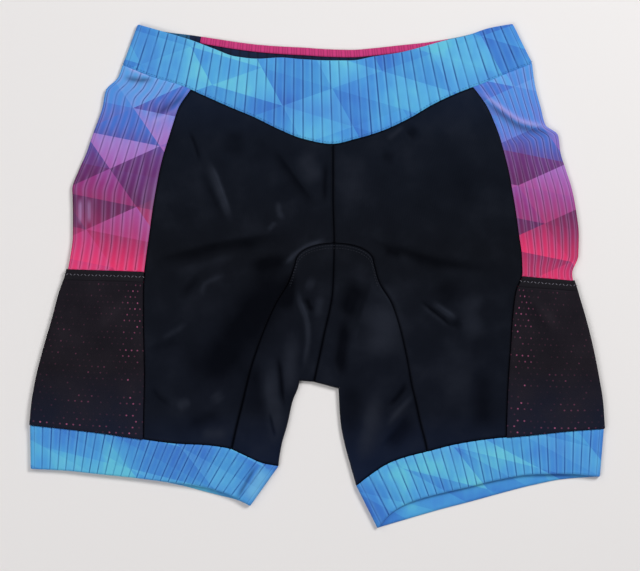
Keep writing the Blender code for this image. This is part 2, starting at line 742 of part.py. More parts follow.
def main():
    for old in list(bpy.data.objects):
        bpy.data.objects.remove(old)
    finishes = {
        "sky": material("ribbed_sky", "#459FD8", 0.75),
        "navy": material("ribbed_navy", "#2A4E86", 0.8),
        "pink": material("tape_pink", "#D63A82", 0.75),
        "black": material("lycra_black", "#11151E", 0.5),
        "violet": material("ribbed_violet", "#9A4FA8", 0.75),
        "mesh": material("mesh_black", "#17151C", 0.85),
        "binding": material("binding_black", "#14131A", 0.7),
        "blue": material("ribbed_blue", "#3F97D3", 0.75),
    }
    build_waistband(finishes)
    for hand in ("left", "right"):
        build_side(hand, finishes)
        build_panels(hand, finishes)
        build_hem_band(hand, finishes)


main()
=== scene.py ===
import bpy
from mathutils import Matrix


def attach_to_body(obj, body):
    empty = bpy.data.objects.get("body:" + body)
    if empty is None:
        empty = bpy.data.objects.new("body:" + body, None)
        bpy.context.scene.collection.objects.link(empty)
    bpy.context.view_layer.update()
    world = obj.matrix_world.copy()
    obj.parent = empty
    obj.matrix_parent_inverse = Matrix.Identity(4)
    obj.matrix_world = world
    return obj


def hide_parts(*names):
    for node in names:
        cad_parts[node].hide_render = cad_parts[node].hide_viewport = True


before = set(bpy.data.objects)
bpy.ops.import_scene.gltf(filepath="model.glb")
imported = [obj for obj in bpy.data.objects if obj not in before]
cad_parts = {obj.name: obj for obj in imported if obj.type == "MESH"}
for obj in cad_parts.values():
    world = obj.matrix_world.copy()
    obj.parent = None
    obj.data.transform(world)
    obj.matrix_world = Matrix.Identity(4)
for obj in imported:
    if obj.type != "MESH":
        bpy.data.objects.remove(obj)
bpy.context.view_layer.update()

"""Cycling shorts laid flat on their back, front up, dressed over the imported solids.

Frame: +X across the garment, +Y towards the waist, +Z up, z = 0 on the surface it lies on.
Tables and sizes are in millimetres and the finished meshes in metres. "left" is -X.
Every panel is a closed wall of cloth on a fine grid: rows run from the waist to the hem and
columns run round the garment, bending in a half circle at the folds.
"""

import logging
import math
from dataclasses import dataclass
from enum import Enum
from functools import partial
from typing import Callable, NamedTuple, Sequence

import bpy
import numpy as np

Array = np.ndarray
Edge = Callable[[Array], Array]
Level = Callable[[Array], Array]
Point = tuple[float, float]
log = logging.getLogger("shorts")

MM = 0.001

# Cloth and layers
WALL = 1.2
SEAM_GAP = 0.3
LOWER_MID = WALL / 2
UPPER_MID = 4.2
UPPER_FLOOR = 2.25
SEAM_SHADE = 1.1
SHORTEST_FADE = 0.34
BROADEST_PEAK = 2.3
FOLD_SCALE = 1.25
POCKET_LIFT = WALL + SEAM_GAP
TAPE_WALL = 1.0
RIB_PITCH = 8.0
BEND_STEPS = 6

# Widths across, as the x of the left and right ends
LIP_ENDS = (-157.0, 171.5)
WAIST_SEAM_ENDS = (-170.0, 188.5)
HEM_SEAM_ENDS = {"left": (-251.5, -34.5), "right": (251.5, 35.0)}
HEM_EDGE_ENDS = {"left": (-251.0, -59.0), "right": (248.0, 53.5)}

# How far the front waistband and the seams of the back reach
BAND_TURN = 0.035
TAPE_SPAN = (0.164, 0.83)
TAPE_HEIGHT = 6.0
BACK_BAND_HEIGHT = 46.0
BACK_SEAM_SHIFT = 6.0
BACK_LEG_SHIFT = 18.0

# Shares of a panel's length that the arc takes
PANEL_ARC_SPAN = (0.34, 0.46)
INNER_ARC_SPAN = 0.25

# Shares of a band's width that each bend at its folds takes
WAIST_BEND = 0.008
HEM_BEND = 0.013

# Heights between which the seams along the garment meet the waist seam and the hem seams
WAIST_SEARCH = (100.0, 186.0)
HEM_SEARCH = (-184.0, -100.0)

# Pocket top edge, y at the side seam and at the outer fold, and the height of its binding
POCKET_TOP = {"left": (3.3, 5.5), "right": (-0.5, -4.5)}
BINDING_HEIGHT = 9.0
SIDE_RIBS = 8
CARRIED_EASING = 30.0

# The inner-leg panel's rows run aslant at the crotch, so its cut is given, in metres
INNER_LEG_CUT = (0.13, 0.225)


class Arc(NamedTuple):
    """Heights of the top and the side of an inner-leg panel's arc."""

    top: float
    side: float


FRONT_ARC = Arc(29.0, 12.5)
BACK_ARC = Arc(4.0, -12.0)
CROTCH = {"left": (-15.0, -91.5), "centre": (-2.5, -92.5), "right": (19.5, -98.5)}

# The waistband: share across, y of the back lip, front lip, front seam and back seam
WAIST = (
    (0.00, 220.5, 220.5, 185.0, 185.0),
    (0.07, 214.5, 214.0, 175.0, 178.0),
    (0.14, 211.5, 207.0, 167.5, 171.0),
    (0.20, 208.5, 199.5, 158.0, 166.0),
    (0.26, 205.5, 192.5, 148.5, 161.5),
    (0.32, 203.0, 190.5, 139.5, 158.0),
    (0.38, 201.5, 191.5, 129.0, 155.0),
    (0.44, 200.5, 190.0, 120.5, 153.0),
    (0.51, 199.0, 189.0, 116.0, 152.0),
    (0.57, 198.5, 189.0, 120.5, 152.5),
    (0.63, 200.0, 192.5, 127.0, 154.0),
    (0.70, 202.5, 196.0, 138.5, 157.0),
    (0.76, 204.5, 201.0, 151.0, 160.5),
    (0.82, 207.5, 206.5, 161.0, 165.0),
    (0.88, 211.5, 211.0, 169.0, 171.0),
    (0.94, 217.5, 217.5, 178.0, 178.5),
    (1.00, 221.0, 221.0, 186.5, 186.5),
)

# The sides: y, and x of the left fold, left front seam, right front seam and right fold
SIDES = (
    (186.0, -170.0, -97.0, 122.0, 188.5),
    (174.0, -174.5, -104.0, 130.0, 190.0),
    (163.0, -185.0, -111.5, 139.5, 192.0),
    (148.0, -188.0, -121.5, 150.0, 196.0),
    (132.0, -193.5, -127.0, 157.0, 200.5),
    (124.0, -196.5, -129.5, 160.0, 211.0),
    (108.0, -202.0, -134.5, 164.5, 213.5),
    (92.0, -209.0, -138.5, 168.5, 218.5),
    (76.0, -214.5, -141.5, 171.5, 223.5),
    (58.0, -214.0, -144.5, 174.5, 227.0),
    (36.0, -214.0, -147.5, 177.5, 229.5),
    (18.0, -216.0, -150.0, 180.0, 229.0),
    (2.0, -219.0, -152.0, 180.5, 223.5),
    (-14.0, -224.5, -153.0, 175.0, 227.5),
    (-38.0, -231.0, -153.0, 172.0, 234.5),
    (-62.0, -238.0, -152.5, 170.5, 240.5),
    (-87.0, -244.5, -152.0, 168.7, 245.5),
    (-112.0, -249.0, -152.5, 167.5, 249.5),
    (-134.0, -251.0, -153.0, 166.8, 251.0),
)

# The inner legs: y, and x of the left seam, left inner fold, right inner fold and right seam
LEGS = (
    (12.5, -18.5, -15.0, 19.5, 49.5),
    (-4.0, -24.0, -15.0, 19.5, 54.0),
    (-25.0, -36.0, -15.0, 19.5, 66.0),
    (-50.0, -47.0, -15.0, 19.5, 74.0),
    (-75.0, -56.0, -15.0, 19.5, 79.5),
    (-95.0, -61.5, -16.5, 19.5, 83.0),
    (-110.0, -65.0, -22.0, 20.0, 86.5),
    (-130.0, -70.0, -26.5, 21.5, 91.0),
    (-150.0, -74.5, -32.0, 25.5, 96.0),
    (-168.0, -78.0, -34.5, 30.5, 99.0),
    (-184.0, -81.0, -35.0, 35.0, 101.0),
)

# The centre seam, front and back: y and x
CENTRE = (
    (155.0, 14.0),
    (67.0, 14.0),
    (29.0, 15.0),
    (-10.0, 14.0),
    (-55.0, 5.5),
    (-92.5, -2.5),
)

# The hem bands: share from the outer fold to the inner one, and y of the seam, the front edge
# and the back edge, left leg and right leg
HEMS = (
    (0.00, -131.0, -169.0, -169.0, -134.0, -176.0, -176.0),
    (0.15, -134.5, -170.5, -170.5, -136.5, -173.5, -178.0),
    (0.30, -138.5, -173.5, -173.5, -140.0, -174.0, -183.5),
    (0.45, -143.5, -176.5, -176.5, -143.0, -178.5, -191.0),
    (0.60, -147.5, -180.0, -180.5, -148.0, -185.5, -199.0),
    (0.70, -148.5, -182.5, -184.5, -153.5, -190.0, -204.0),
    (0.80, -151.5, -185.5, -189.5, -159.0, -195.0, -209.5),
    (0.87, -158.0, -189.5, -193.0, -164.5, -200.0, -213.5),
    (0.94, -164.5, -195.0, -196.5, -174.0, -208.0, -217.5),
    (1.00, -167.0, -201.5, -201.5, -184.0, -221.0, -221.0),
)


@dataclass(frozen=True)
class Crease:
    """A fold line of the upper layer: a ridge where rise is over 0, else a trough.

    left and right are how far it eases out on each side of its path, and its painted-light value
    is how much painted highlight (over 0) or painted shade (under 0) the cloth's colour gets along it.
    """

    path: tuple[Point, ...]
    rise: float
    left: float
    right: float
    nap: float = 0.0
    peak: float = 2.0
    fade: float = 0.3

    def weight(self, points: Array) -> Array:
        """Share of the crease at points.

        Args:
            points: positions in millimetres, shape (n, 2).

        Returns:
            1 on the middle of the crease and 0 away from it.
        """
        line = smooth_path(self.path)
        reach = 3.0 * max(self.left, self.right)
        low, high = line.min(0) - reach, line.max(0) + reach
        near = np.all((points > low) & (points < high), axis=1)
        weight = np.zeros(len(points))
        if not near.any():
            return weight
        here = points[near]
        lengths = np.linalg.norm(np.diff(line, axis=0), axis=1)
        before = np.concatenate([[0.0], np.cumsum(lengths)])
        best = np.full(len(here), 1e9)
        side = np.zeros(len(here))
        share = np.zeros(len(here))
        for i, length in enumerate(lengths):
            along = (line[i + 1] - line[i]) / length
            offset = here - line[i]
            run = np.clip(offset @ along, 0.0, length)
            away = offset - run[:, None] * along
            distance = np.linalg.norm(away, axis=1)
            closer = distance < best
            best[closer] = distance[closer]
            side[closer] = (along[0] * offset[:, 1] - along[1] * offset[:, 0])[closer]
            share[closer] = ((before[i] + run) / before[-1])[closer]
        width = np.where(side > 0, self.left, self.right)
        fade = max(self.fade, SHORTEST_FADE)
        ends = ease(share / fade) * ease((1 - share) / fade)
        weight[near] = ends * np.exp(-((best / width) ** min(self.peak, BROADEST_PEAK)))
        return weight


# Creases of the front, each with its rise, its widths left and right of its path, its painted
# light (painted highlight over 0, painted shade under 0) and how broad its top is. Those with no
# rise are only painted light. First the hollow over the seat, then the crotch, the legs and the hips.
CREASES = (
    Crease(((-154, 9), (-134, 14), (-112, 19), (-85, 26), (-59, 30), (-40, 33), (-15, 37)),
           -1.5, 3.5, 7, -0.9, 2.0, 0.2),
    Crease(((-134, 4), (-103, 9), (-81, 16), (-59, 20)), 0.5, 5, 5, 0.35),
    Crease(((-15, 12), (-37, 1), (-48, -21), (-61, -43), (-78, -65), (-103, -84), (-121, -100)),
           -1.9, 20, 17, -1.3, 3.4, 0.14),
    Crease(((-62, 6), (-42, 13), (-22, 16)), -0.4, 5, 8, -1.0, 2.6, 0.2),
    Crease(((-22, 6), (-23, -14), (-26, -34)), -0.6, 4.5, 8, -1.0, 3.2, 0.2),
    Crease(((9, 32), (-8, 26), (-22, 16), (-31, 8)), 1.1, 2.4, 2.2, 1.7, 2.0, 0.15),
    Crease(((-78, 1), (-98, -7), (-100, -21)), 0.8, 2.5, 2.5, 0.7, 1.6),
    Crease(((-99, 2), (-110, -9), (-121, -23)), -0.8, 3.5, 3.5, -0.6, 1.8),
    Crease(((-138, -55), (-125, -49), (-112, -40)), 0.6, 2.5, 3, 0.6, 1.6),
    Crease(((-149, -67), (-136, -62), (-116, -55)), -0.7, 4, 4, -0.5, 1.8),
    Crease(((-145, -96), (-138, -107), (-126, -114)), -0.8, 4, 4, -0.7, 1.8),
    Crease(((-116, -136), (-99, -125), (-78, -120)), -0.6, 5, 6, -0.6, 2.2),
    Crease(((-124, -115), (-110, -110)), 0.3, 4.5, 4.5, 0.8, 2.2),
    Crease(((-104, -138), (-90, -139), (-76, -138)), 0.3, 5, 5, 0.7, 2.2),
    Crease(((-91, -101), (-83, -112)), 0.3, 5, 5, 0.6, 2.2),
    Crease(((-41, -67), (-40, -100), (-36, -131), (-34, -156)), 1.3, 6.5, 6.5, 0.9, 3.2, 0.12),
    Crease(((-34, -67), (-32, -87), (-29, -118)), -1.0, 2, 2.4, -1.4, 1.8, 0.18),
    Crease(((-20, -43), (-22, -65), (-24, -87), (-26, -112)), 0.9, 6, 6, 0.8, 2.8, 0.2),
    Crease(((-55, -67), (-53, -96), (-48, -131)), -0.7, 5, 14, -0.8, 2.6, 0.2),
    Crease(((-42, -118), (-36, -143)), -0.4, 1.4, 1.4, -1.2, 2.0, 0.2),
    Crease(((-18, -4), (-16, -21), (-10, -37), (-8, -56), (-12, -87)), 0.9, 2.2, 2, 1.0, 2.0, 0.1),
    Crease(((-11, -5), (-1, -9)), 0.3, 5, 5, 0.6, 2.2),
    Crease(((-10, -18), (-4, -33)), -0.7, 3, 3, -1.0, 2.2),
    Crease(((3, -16), (0, -39)), 0.4, 3.5, 3.5, 0.7, 2.2),
    Crease(((-113, 130), (-107, 115), (-102, 98)), -0.7, 2.2, 2.4, -1.0, 1.8, 0.15),
    Crease(((-98, 106), (-89, 86), (-82, 67), (-74, 44)), 1.0, 2, 3, 1.1, 1.8, 0.12),
    Crease(((-102, 96), (-93, 74), (-80, 47)), -0.4, 2.6, 4, -0.6, 2.0, 0.2),
    Crease(((-72, 132), (-74, 102)), -0.3, 9, 9, -0.6, 3.0),
    Crease(((-46, 122), (-52, 96)), -0.2, 7, 7, -0.35, 2.6),
    Crease(((-15, 112), (-6, 94), (2, 78)), 0.2, 8, 8, 0.75, 3.2, 0.25),
    Crease(((-41, 116), (-28, 98), (-14, 79), (0, 58)), -0.7, 2.4, 7, -0.9, 2.0, 0.12),
    Crease(((-35, 67), (-33, 55), (-28, 48)), 0.5, 1.8, 1.8, 0.9),
    Crease(((-43, 39), (-36, 48)), 0.4, 2, 2, 0.8),
    Crease(((8, 104), (6, 60)), -0.5, 3, 3, -1.0, 2.0, 0.2),
    Crease(((-34, 84), (-24, 64)), 0.0, 12, 12, -0.35, 2.4),
    Crease(((42, 32), (60, 25), (77, 21), (108, 12), (135, 7), (157, 2)),
           -1.4, 3.5, 7, -0.8, 2.0, 0.14),
    Crease(((56, 22), (76, 17)), -0.2, 4, 5, -0.6),
    Crease(((73, 15), (96, 8), (118, 0)), -0.3, 6, 7, -0.4),
    Crease(((41, -3), (31, -19), (25, -42)), -1.7, 9, 8, -1.4, 3.6, 0.1),
    Crease(((27, -34), (22, -66), (20, -93)), -1.7, 5.5, 5.5, -1.4, 3.2, 0.1),
    Crease(((50, -2), (44, -22), (38, -42), (34, -60)), 2.2, 32, 4.5, 0.0, 1.6, 0.2),
    Crease(((61, -18), (57, -46), (62, -76)), 0.0, 16, 16, 0.85, 4.0, 0.2),
    Crease(((31, -90), (31, -114), (34, -146)), -0.8, 10, 10, -0.7, 3.2, 0.2),
    Crease(((56, -94), (49, -118), (43, -144), (41, -168)), 0.9, 8, 8, 0.75, 3.2, 0.15),
    Crease(((81, -92), (73, -104), (61, -117)), -0.9, 2.2, 2.4, -1.1, 1.8),
    Crease(((86, -118), (70, -139), (55, -155)), -1.0, 12, 4, -0.9, 2.6, 0.2),
    Crease(((87, -102), (71, -120), (60, -134)), 0.6, 2.5, 2.5, 0.8),
    Crease(((89, -21), (105, -33), (122, -47)), -1.0, 2.4, 2.6, -1.1, 1.8, 0.2),
    Crease(((98, -22), (113, -32), (125, -41)), 0.7, 2.2, 2.2, 0.9, 1.8, 0.2),
    Crease(((119, -46), (127, -39)), -0.3, 4, 4, -0.6),
    Crease(((139, -12), (136, -39), (142, -61)), 0.9, 8, 9, 0.6, 2.6, 0.2),
    Crease(((104, -6), (121, -28)), -0.3, 12, 12, -0.5, 2.6),
    Crease(((144, -78), (145, -109), (145, -143)), -0.7, 8.5, 8.5, -0.75, 4.5, 0.14),
    Crease(((121, -56), (117, -83), (119, -118)), 0.2, 15, 15, 0.4, 2.6),
    Crease(((79, 121), (89, 130)), -0.4, 5, 5, -0.8, 2.4),
    Crease(((55, 106), (69, 102)), -0.3, 4.5, 4.5, -0.6, 2.4),
    Crease(((60, 118), (77, 132)), 0.5, 2.5, 2.5, 0.7),
    Crease(((24, 112), (26, 84), (24, 54)), 0.2, 12, 10, 0.35, 2.4),
    Crease(((-132, 92), (-136, 62), (-132, 34)), 0.3, 12, 12, 0.3, 2.4),
    Crease(((90, 92), (120, 78), (150, 66)), -0.3, 20, 18, -0.25, 2.6),
    Crease(((-198, -53), (-175, -30), (-164, -15)), 0.8, 5, 6, 0.5, 1.5),
    Crease(((182, -11), (200, -34), (219, -53)), 0.8, 5, 6, 0.5, 1.5),
    Crease(((182, -18), (196, -40), (206, -56)), -0.6, 5, 6, -0.6, 1.6),
    Crease(((196, -70), (208, -98), (204, -126)), -0.5, 9, 8, -0.3, 1.8),
    Crease(((-206, -76), (-196, -98), (-204, -124)), -0.5, 9, 8, -0.3, 1.8),
    Crease(((-169, 184), (-156, 180), (-143, 175)), 0.6, 2, 2, 0.8, 1.8, 0.15),
    Crease(((-172, 175), (-157, 172), (-142, 173)), -1.0, 2.2, 2.6, -1.0, 1.8, 0.15),
    Crease(((-147, 140), (-131, 148), (-113, 162)), -1.1, 3, 4, -0.8, 1.6, 0.2),
    Crease(((-150, 132), (-134, 140), (-118, 152)), 0.6, 3, 3, 0.5, 1.6, 0.2),
    Crease(((-213, 82), (-215, 50), (-216, 20)), -0.4, 2, 2, -0.8, 1.8, 0.15),
    Crease(((-208, 70), (-208, 43)), 0.2, 1.4, 1.4, 0.9),
    Crease(((-200, 70), (-200, 44)), 0.2, 1.4, 1.4, 0.7),
    Crease(((139, 165), (165, 145), (179, 136), (198, 131), (211, 125)),
           0.7, 2, 2, 0.9, 1.8, 0.12),
    Crease(((139, 160), (165, 140), (179, 131), (198, 126), (211, 120)),
           -1.3, 2.4, 4, -0.9, 1.8, 0.12),
    Crease(((20, 136), (26, 126)), -0.6, 2.6, 2.6, -0.9),
    Crease(((-42, -166), (-63, -200)), 0.6, 6, 6, 0.8, 3.0, 0.12),
    Crease(((-52, -164), (-72, -199)), -0.7, 1.8, 1.8, -1.0, 1.8, 0.12),
)


def ease(t: Array) -> Array:
    """Smooth step from 0 to 1."""
    t = np.clip(t, 0.0, 1.0)
    return t * t * (3 - 2 * t)


def mix(a: Array, b: Array, t: Array) -> Array:
    """Straight mix of a and b."""
    return a + (b - a) * t


def smooth_path(path: Sequence[Point], parts: int = 5) -> Array:
    """A rounded line through points.

    Args:
        path: two or more points.
        parts: pieces that each stretch is cut into.

    Returns:
        Points along the line, shape (n, 2).
    """
    p = np.asarray(path, float)
    p = np.vstack([2 * p[0] - p[1], p, 2 * p[-1] - p[-2]])
    out = []
    for i in range(1, len(p) - 2):
        for t in np.arange(parts) / parts:
            out.append(
                0.5 * (2 * p[i] + (p[i + 1] - p[i - 1]) * t
                       + (2 * p[i - 1] - 5 * p[i] + 4 * p[i + 1] - p[i + 2]) * t**2
                       + (3 * p[i] - p[i - 1] - 3 * p[i + 1] + p[i + 2]) * t**3)
            )
    return np.array([*out, p[-2]])


class Curve:
    """A smooth curve through a table's column that never overshoots its rows."""

    def __init__(self, stations: Sequence[float], values: Sequence[float]) -> None:
        """Fit the slopes at the rows."""
        order = np.argsort(stations)
        self.stations = np.asarray(stations, float)[order]
        self.values = np.asarray(values, float)[order]
        steps = np.diff(self.stations)
        rises = np.diff(self.values) / steps
        self.slopes = np.zeros(len(self.stations))
        self.slopes[0], self.slopes[-1] = rises[0], rises[-1]
        for i in range(1, len(rises)):
            if rises[i - 1] * rises[i] > 0:
                before = 2 * steps[i] + steps[i - 1]
                after = steps[i] + 2 * steps[i - 1]
                self.slopes[i] = (before + after) / (before / rises[i - 1] + after / rises[i])

    def __call__(self, at: Array) -> Array:
        """Value of the curve at one or many stations."""
        at = np.clip(np.asarray(at, float), self.stations[0], self.stations[-1])
        i = np.clip(np.searchsorted(self.stations, at) - 1, 0, len(self.stations) - 2)
        step = self.stations[i + 1] - self.stations[i]
        t = (at - self.stations[i]) / step
        keep = (1 + 2 * t) * (1 - t) ** 2
        return (
            keep * self.values[i]
            + (1 - keep) * self.values[i + 1]
            + step * t * (1 - t) ** 2 * self.slopes[i]
            - step * t * t * (1 - t) * self.slopes[i + 1]
        )


def column(table: Sequence[Sequence[float]], index: int) -> Curve:
    """A table's column as a curve over its first column."""
    return Curve([row[0] for row in table], [row[index] for row in table])


@dataclass(frozen=True)
class Across:
    """An edge across the garment: x runs between two ends, y follows a table's column."""

    ends: tuple[float, float]
    curve: Curve

    def at(self, share: Array) -> Array:
        """Point at a share of the width."""
        share = np.asarray(share, float)
        return np.stack([mix(*self.ends, share), self.curve(share)], axis=-1)

    def height(self, x: Array) -> Array:
        """y of the edge at an x."""
        return self.curve((x - self.ends[0]) / (self.ends[1] - self.ends[0]))

    def between(self, start_x: float, end_x: float) -> Edge:
        """The stretch of the edge between two x."""
        return lambda s: np.stack(
            [mix(start_x, end_x, s), self.height(mix(start_x, end_x, s))], axis=-1
        )


WAIST_EDGES = {
    "back_lip": Across(LIP_ENDS, column(WAIST, 1)),
    "front_lip": Across(LIP_ENDS, column(WAIST, 2)),
    "front_seam": Across(WAIST_SEAM_ENDS, column(WAIST, 3)),
    "back_seam": Across(WAIST_SEAM_ENDS, column(WAIST, 4)),
}
HEM_SEAMS = {
    "left": Across(HEM_SEAM_ENDS["left"], column(HEMS, 1)),
    "right": Across(HEM_SEAM_ENDS["right"], column(HEMS, 4)),
}
HEM_EDGES = {
    ("left", "front"): Across(HEM_EDGE_ENDS["left"], column(HEMS, 2)),
    ("left", "back"): Across(HEM_EDGE_ENDS["left"], column(HEMS, 3)),
    ("right", "front"): Across(HEM_EDGE_ENDS["right"], column(HEMS, 5)),
    ("right", "back"): Across(HEM_EDGE_ENDS["right"], column(HEMS, 6)),
}
OUTER_FOLDS = {"left": column(SIDES, 1), "right": column(SIDES, 4)}
SIDE_SEAMS = {"left": column(SIDES, 2), "right": column(SIDES, 3)}
LEG_SEAMS = {"left": column(LEGS, 1), "right": column(LEGS, 4)}
INNER_FOLDS = {"left": column(LEGS, 2), "right": column(LEGS, 3)}
CENTRE_SEAM = column(CENTRE, 1)
OUTWARD = {"left": -1.0, "right": 1.0}
HANDS = ("left", "right")


def side_seam(hand: str, layer: str) -> Level:
    """x of a side seam at a height; the back one lies nearer the outer fold."""
    shift = BACK_SEAM_SHIFT * OUTWARD[hand] if layer == "back" else 0.0
    return lambda y: SIDE_SEAMS[hand](y) + shift


def leg_seam(hand: str, layer: str) -> Level:
    """x of an inner-leg panel's seam at a height; the back one lies nearer the inner fold."""
    shift = -BACK_LEG_SHIFT * OUTWARD[hand] if layer == "back" else 0.0
    return lambda y: LEG_SEAMS[hand](y) + shift


def down(curve: Level, top: float, bottom: float) -> Edge:
    """An edge along the garment, from one height to a lower one."""
    return lambda s: np.stack([curve(mix(top, bottom, s)), mix(top, bottom, s)], axis=-1)


def line(start: Point, end: Point) -> Edge:
    """A straight edge."""
    return lambda s: mix(np.asarray(start, float), np.asarray(end, float), np.asarray(s)[..., None])


def chain(*parts: tuple[float, Edge]) -> Edge:
    """Edges in a row, each from its own share of the whole to the next one's."""

    def edge(s: Array) -> Array:
        s = np.asarray(s, float)
        out = np.zeros((*s.shape, 2))
        for i, (begin, part) in enumerate(parts):
            end = parts[i + 1][0] if i + 1 < len(parts) else 1.0
            inside = (s >= begin) & (s <= end)
            out[inside] = part((s[inside] - begin) / (end - begin))
        return out

    return edge


def crossing(curve: Level, across: Across, search: tuple[float, float]) -> float:
    """Height where an edge along the garment meets one across it."""
    low, high = search
    for _ in range(60):
        middle = (low + high) / 2
        if across.height(curve(middle)) > middle:
            low = middle
        else:
            high = middle
    return (low + high) / 2


@dataclass(frozen=True)
class Patch:
    """Straight rows between two side edges, bowed as the top and bottom edges are."""

    start: Edge
    end: Edge
    top: Edge
    bottom: Edge

    def points(self, u: Array, v: Array) -> Array:
        """Points of the patch.

        Args:
            u: shares across, shape (rows, columns).
            v: shares down, shape (rows,).

        Returns:
            Positions, shape (rows, columns, 2).
        """
        u = np.broadcast_to(u, (len(v), np.shape(u)[-1]))
        across, drop = u[..., None], np.asarray(v)[:, None, None]
        straight = mix(self.start(v)[:, None], self.end(v)[:, None], across)
        top_ends, bottom_ends = self.top(np.array([0.0, 1.0])), self.bottom(np.array([0.0, 1.0]))
        top_bow = self.top(u) - mix(top_ends[0], top_ends[1], across)
        bottom_bow = self.bottom(u) - mix(bottom_ends[0], bottom_ends[1], across)
        return straight + top_bow * (1 - drop) ** 3 + bottom_bow * drop**3


def upper_level(points: Array) -> Array:
    """Height of the upper layer's middle over the surface, with its creases.

    Args:
        points: positions in millimetres, shape (..., 2).

    Returns:
        Heights in millimetres, shape (...).
    """
    flat = points.reshape(-1, 2)
    x, y = flat[:, 0], flat[:, 1]
    height = UPPER_MID + 0.0 * x
    height += 0.16 * np.sin(x / 13.0 + 1.3 * np.sin(y / 31.0)) * np.sin(y / 19.0 + 0.7)
    height += 0.14 * np.sin(x / 29.0 - y / 17.0 + 2.0)
    for crease in CREASES:
        if crease.rise:
            height += FOLD_SCALE * crease.rise * crease.weight(flat)
    soft = 0.35
    height = UPPER_FLOOR + soft * np.logaddexp(0.0, (height - UPPER_FLOOR) / soft)
    return height.reshape(points.shape[:-1])


def painted_light_of(points: Array) -> Array:
    """Painted light of the creases at points: painted highlight over 0, painted shade under 0."""
    flat = points.reshape(-1, 2)
    nap = sum(crease.nap * crease.weight(flat) for crease in CREASES if crease.nap)
    return np.clip(nap, -1.2, 1.2).reshape(points.shape[:-1])


def lower_level(points: Array) -> Array:
    """Height of the lower layer's middle, flat on the surface."""
    return np.full(points.shape[:-1], LOWER_MID)


def carried_level(hand: str) -> Level:
    """Lower layer of a side panel: it rises where the pocket lies under it."""

    def level(points: Array) -> Array:
        above = (points[..., 1] - max(POCKET_TOP[hand])) / CARRIED_EASING
        return LOWER_MID + POCKET_LIFT * ease(1.0 - above)

    return level


def on_level(points: Array, level: Level) -> Array:
    """Points with their height added."""
    return np.concatenate([points, level(points)[..., None]], axis=-1)


BEND = np.radians(np.linspace(90.0, 0.0, BEND_STEPS + 1)[1:])


def wrap_grid(front: Patch, back: Patch, v: Array, lower: Level, shares: tuple[Array, Array]) -> Array:
    """Rows round a fold: the front half from its seam to the fold, then the back half.

    Args:
        front: the half that lies on top.
        back: the half that lies underneath.
        v: shares down.
        lower: height of the lower layer.
        shares: shares across of the front half and of the back half.

    Returns:
        Grid of middle points, shape (rows, columns, 3).
    """
    fold = front.end(v)
    radius = (upper_level(fold) - lower(fold)) / 2
    halves = []
    for patch, flat, sign in ((front, shares[0], 1.0), (back, shares[1], -1.0)):
        ends = patch.points(np.array([[0.0, 1.0]]), v)
        width = np.linalg.norm(ends[:, 0] - ends[:, 1], axis=1)
        turn = (radius / width)[:, None]
        u = np.hstack([flat[None] * (1 - turn), 1 - turn * (1 - np.cos(BEND[None]))])
        angle = np.concatenate([np.full(len(flat), math.pi / 2), BEND])
        points = patch.points(u, v)
        upper, under = upper_level(points), lower(points)
        z = (upper + under) / 2 + sign * (upper - under) / 2 * np.sin(angle)
        halves.append(np.concatenate([points, z[..., None]], axis=-1))
    return np.hstack([halves[0], halves[1][:, -2::-1]])


@dataclass(frozen=True)
class Stations:
    """Columns of a band: share across, end of a bend (0, 1 or -1 on the flat), angle, layer."""

    share: Array
    end: Array
    angle: Array
    front: Array

    @staticmethod
    def flat(shares: Array, front: bool) -> "Stations":
        """Columns on the flat of one layer."""
        n = len(shares)
        return Stations(
            np.asarray(shares), np.full(n, -1), np.full(n, math.pi / 2), np.full(n, front)
        )

    @staticmethod
    def bend(end: int, going_up: bool) -> "Stations":
        """Columns round a fold, from the back layer to the front one or the other way."""
        angle = np.concatenate([[math.pi / 2], BEND[:-1], BEND[::-1], [math.pi / 2]])
        front = np.arange(len(angle)) >= BEND_STEPS
        if not going_up:
            angle, front = angle[::-1], front[::-1]
        return Stations(np.zeros(len(angle)), np.full(len(angle), end), angle, front)

    @staticmethod
    def join(*parts: "Stations") -> "Stations":
        """Several runs of columns as one."""
        names = ("share", "end", "angle", "front")
        return Stations(*(np.concatenate([getattr(p, n) for p in parts]) for n in names))


def band_grid(edges: dict[bool, tuple[Across, Across]], v: Array, stations: Stations) -> Array:
    """A band between an upper and a lower edge, bending at its folds.

    Args:
        edges: upper and lower edge of the front layer (True) and of the back layer (False).
        v: shares down.
        stations: its columns.

    Returns:
        Grid of middle points, shape (rows, columns, 3).
    """
    drop = v[:, None]
    folds = [
        mix(edges[True][0].at(np.array([e])), edges[True][1].at(np.array([e])), drop)
        for e in (0.0, 1.0)
    ]
    width = np.linalg.norm(folds[1] - folds[0], axis=1)
    share = np.tile(stations.share, (len(v), 1))
    for end, fold in enumerate(folds):
        here = stations.end == end
        radius = (upper_level(fold) - LOWER_MID) / 2
        turned = (radius / width)[:, None] * (1 - np.cos(stations.angle[here]))
        share[:, here] = turned if end == 0 else 1 - turned
    points = np.zeros((*share.shape, 2))
    for front in (True, False):
        here = stations.front == front
        top, bottom = edges[front]
        points[:, here] = mix(top.at(share[:, here]), bottom.at(share[:, here]), drop[..., None])
    upper = upper_level(points)
    sign = np.where(stations.front, 1.0, -1.0)
    z = (upper + LOWER_MID) / 2 + sign * (upper - LOWER_MID) / 2 * np.sin(stations.angle)
    return np.concatenate([points, z[..., None]], axis=-1)


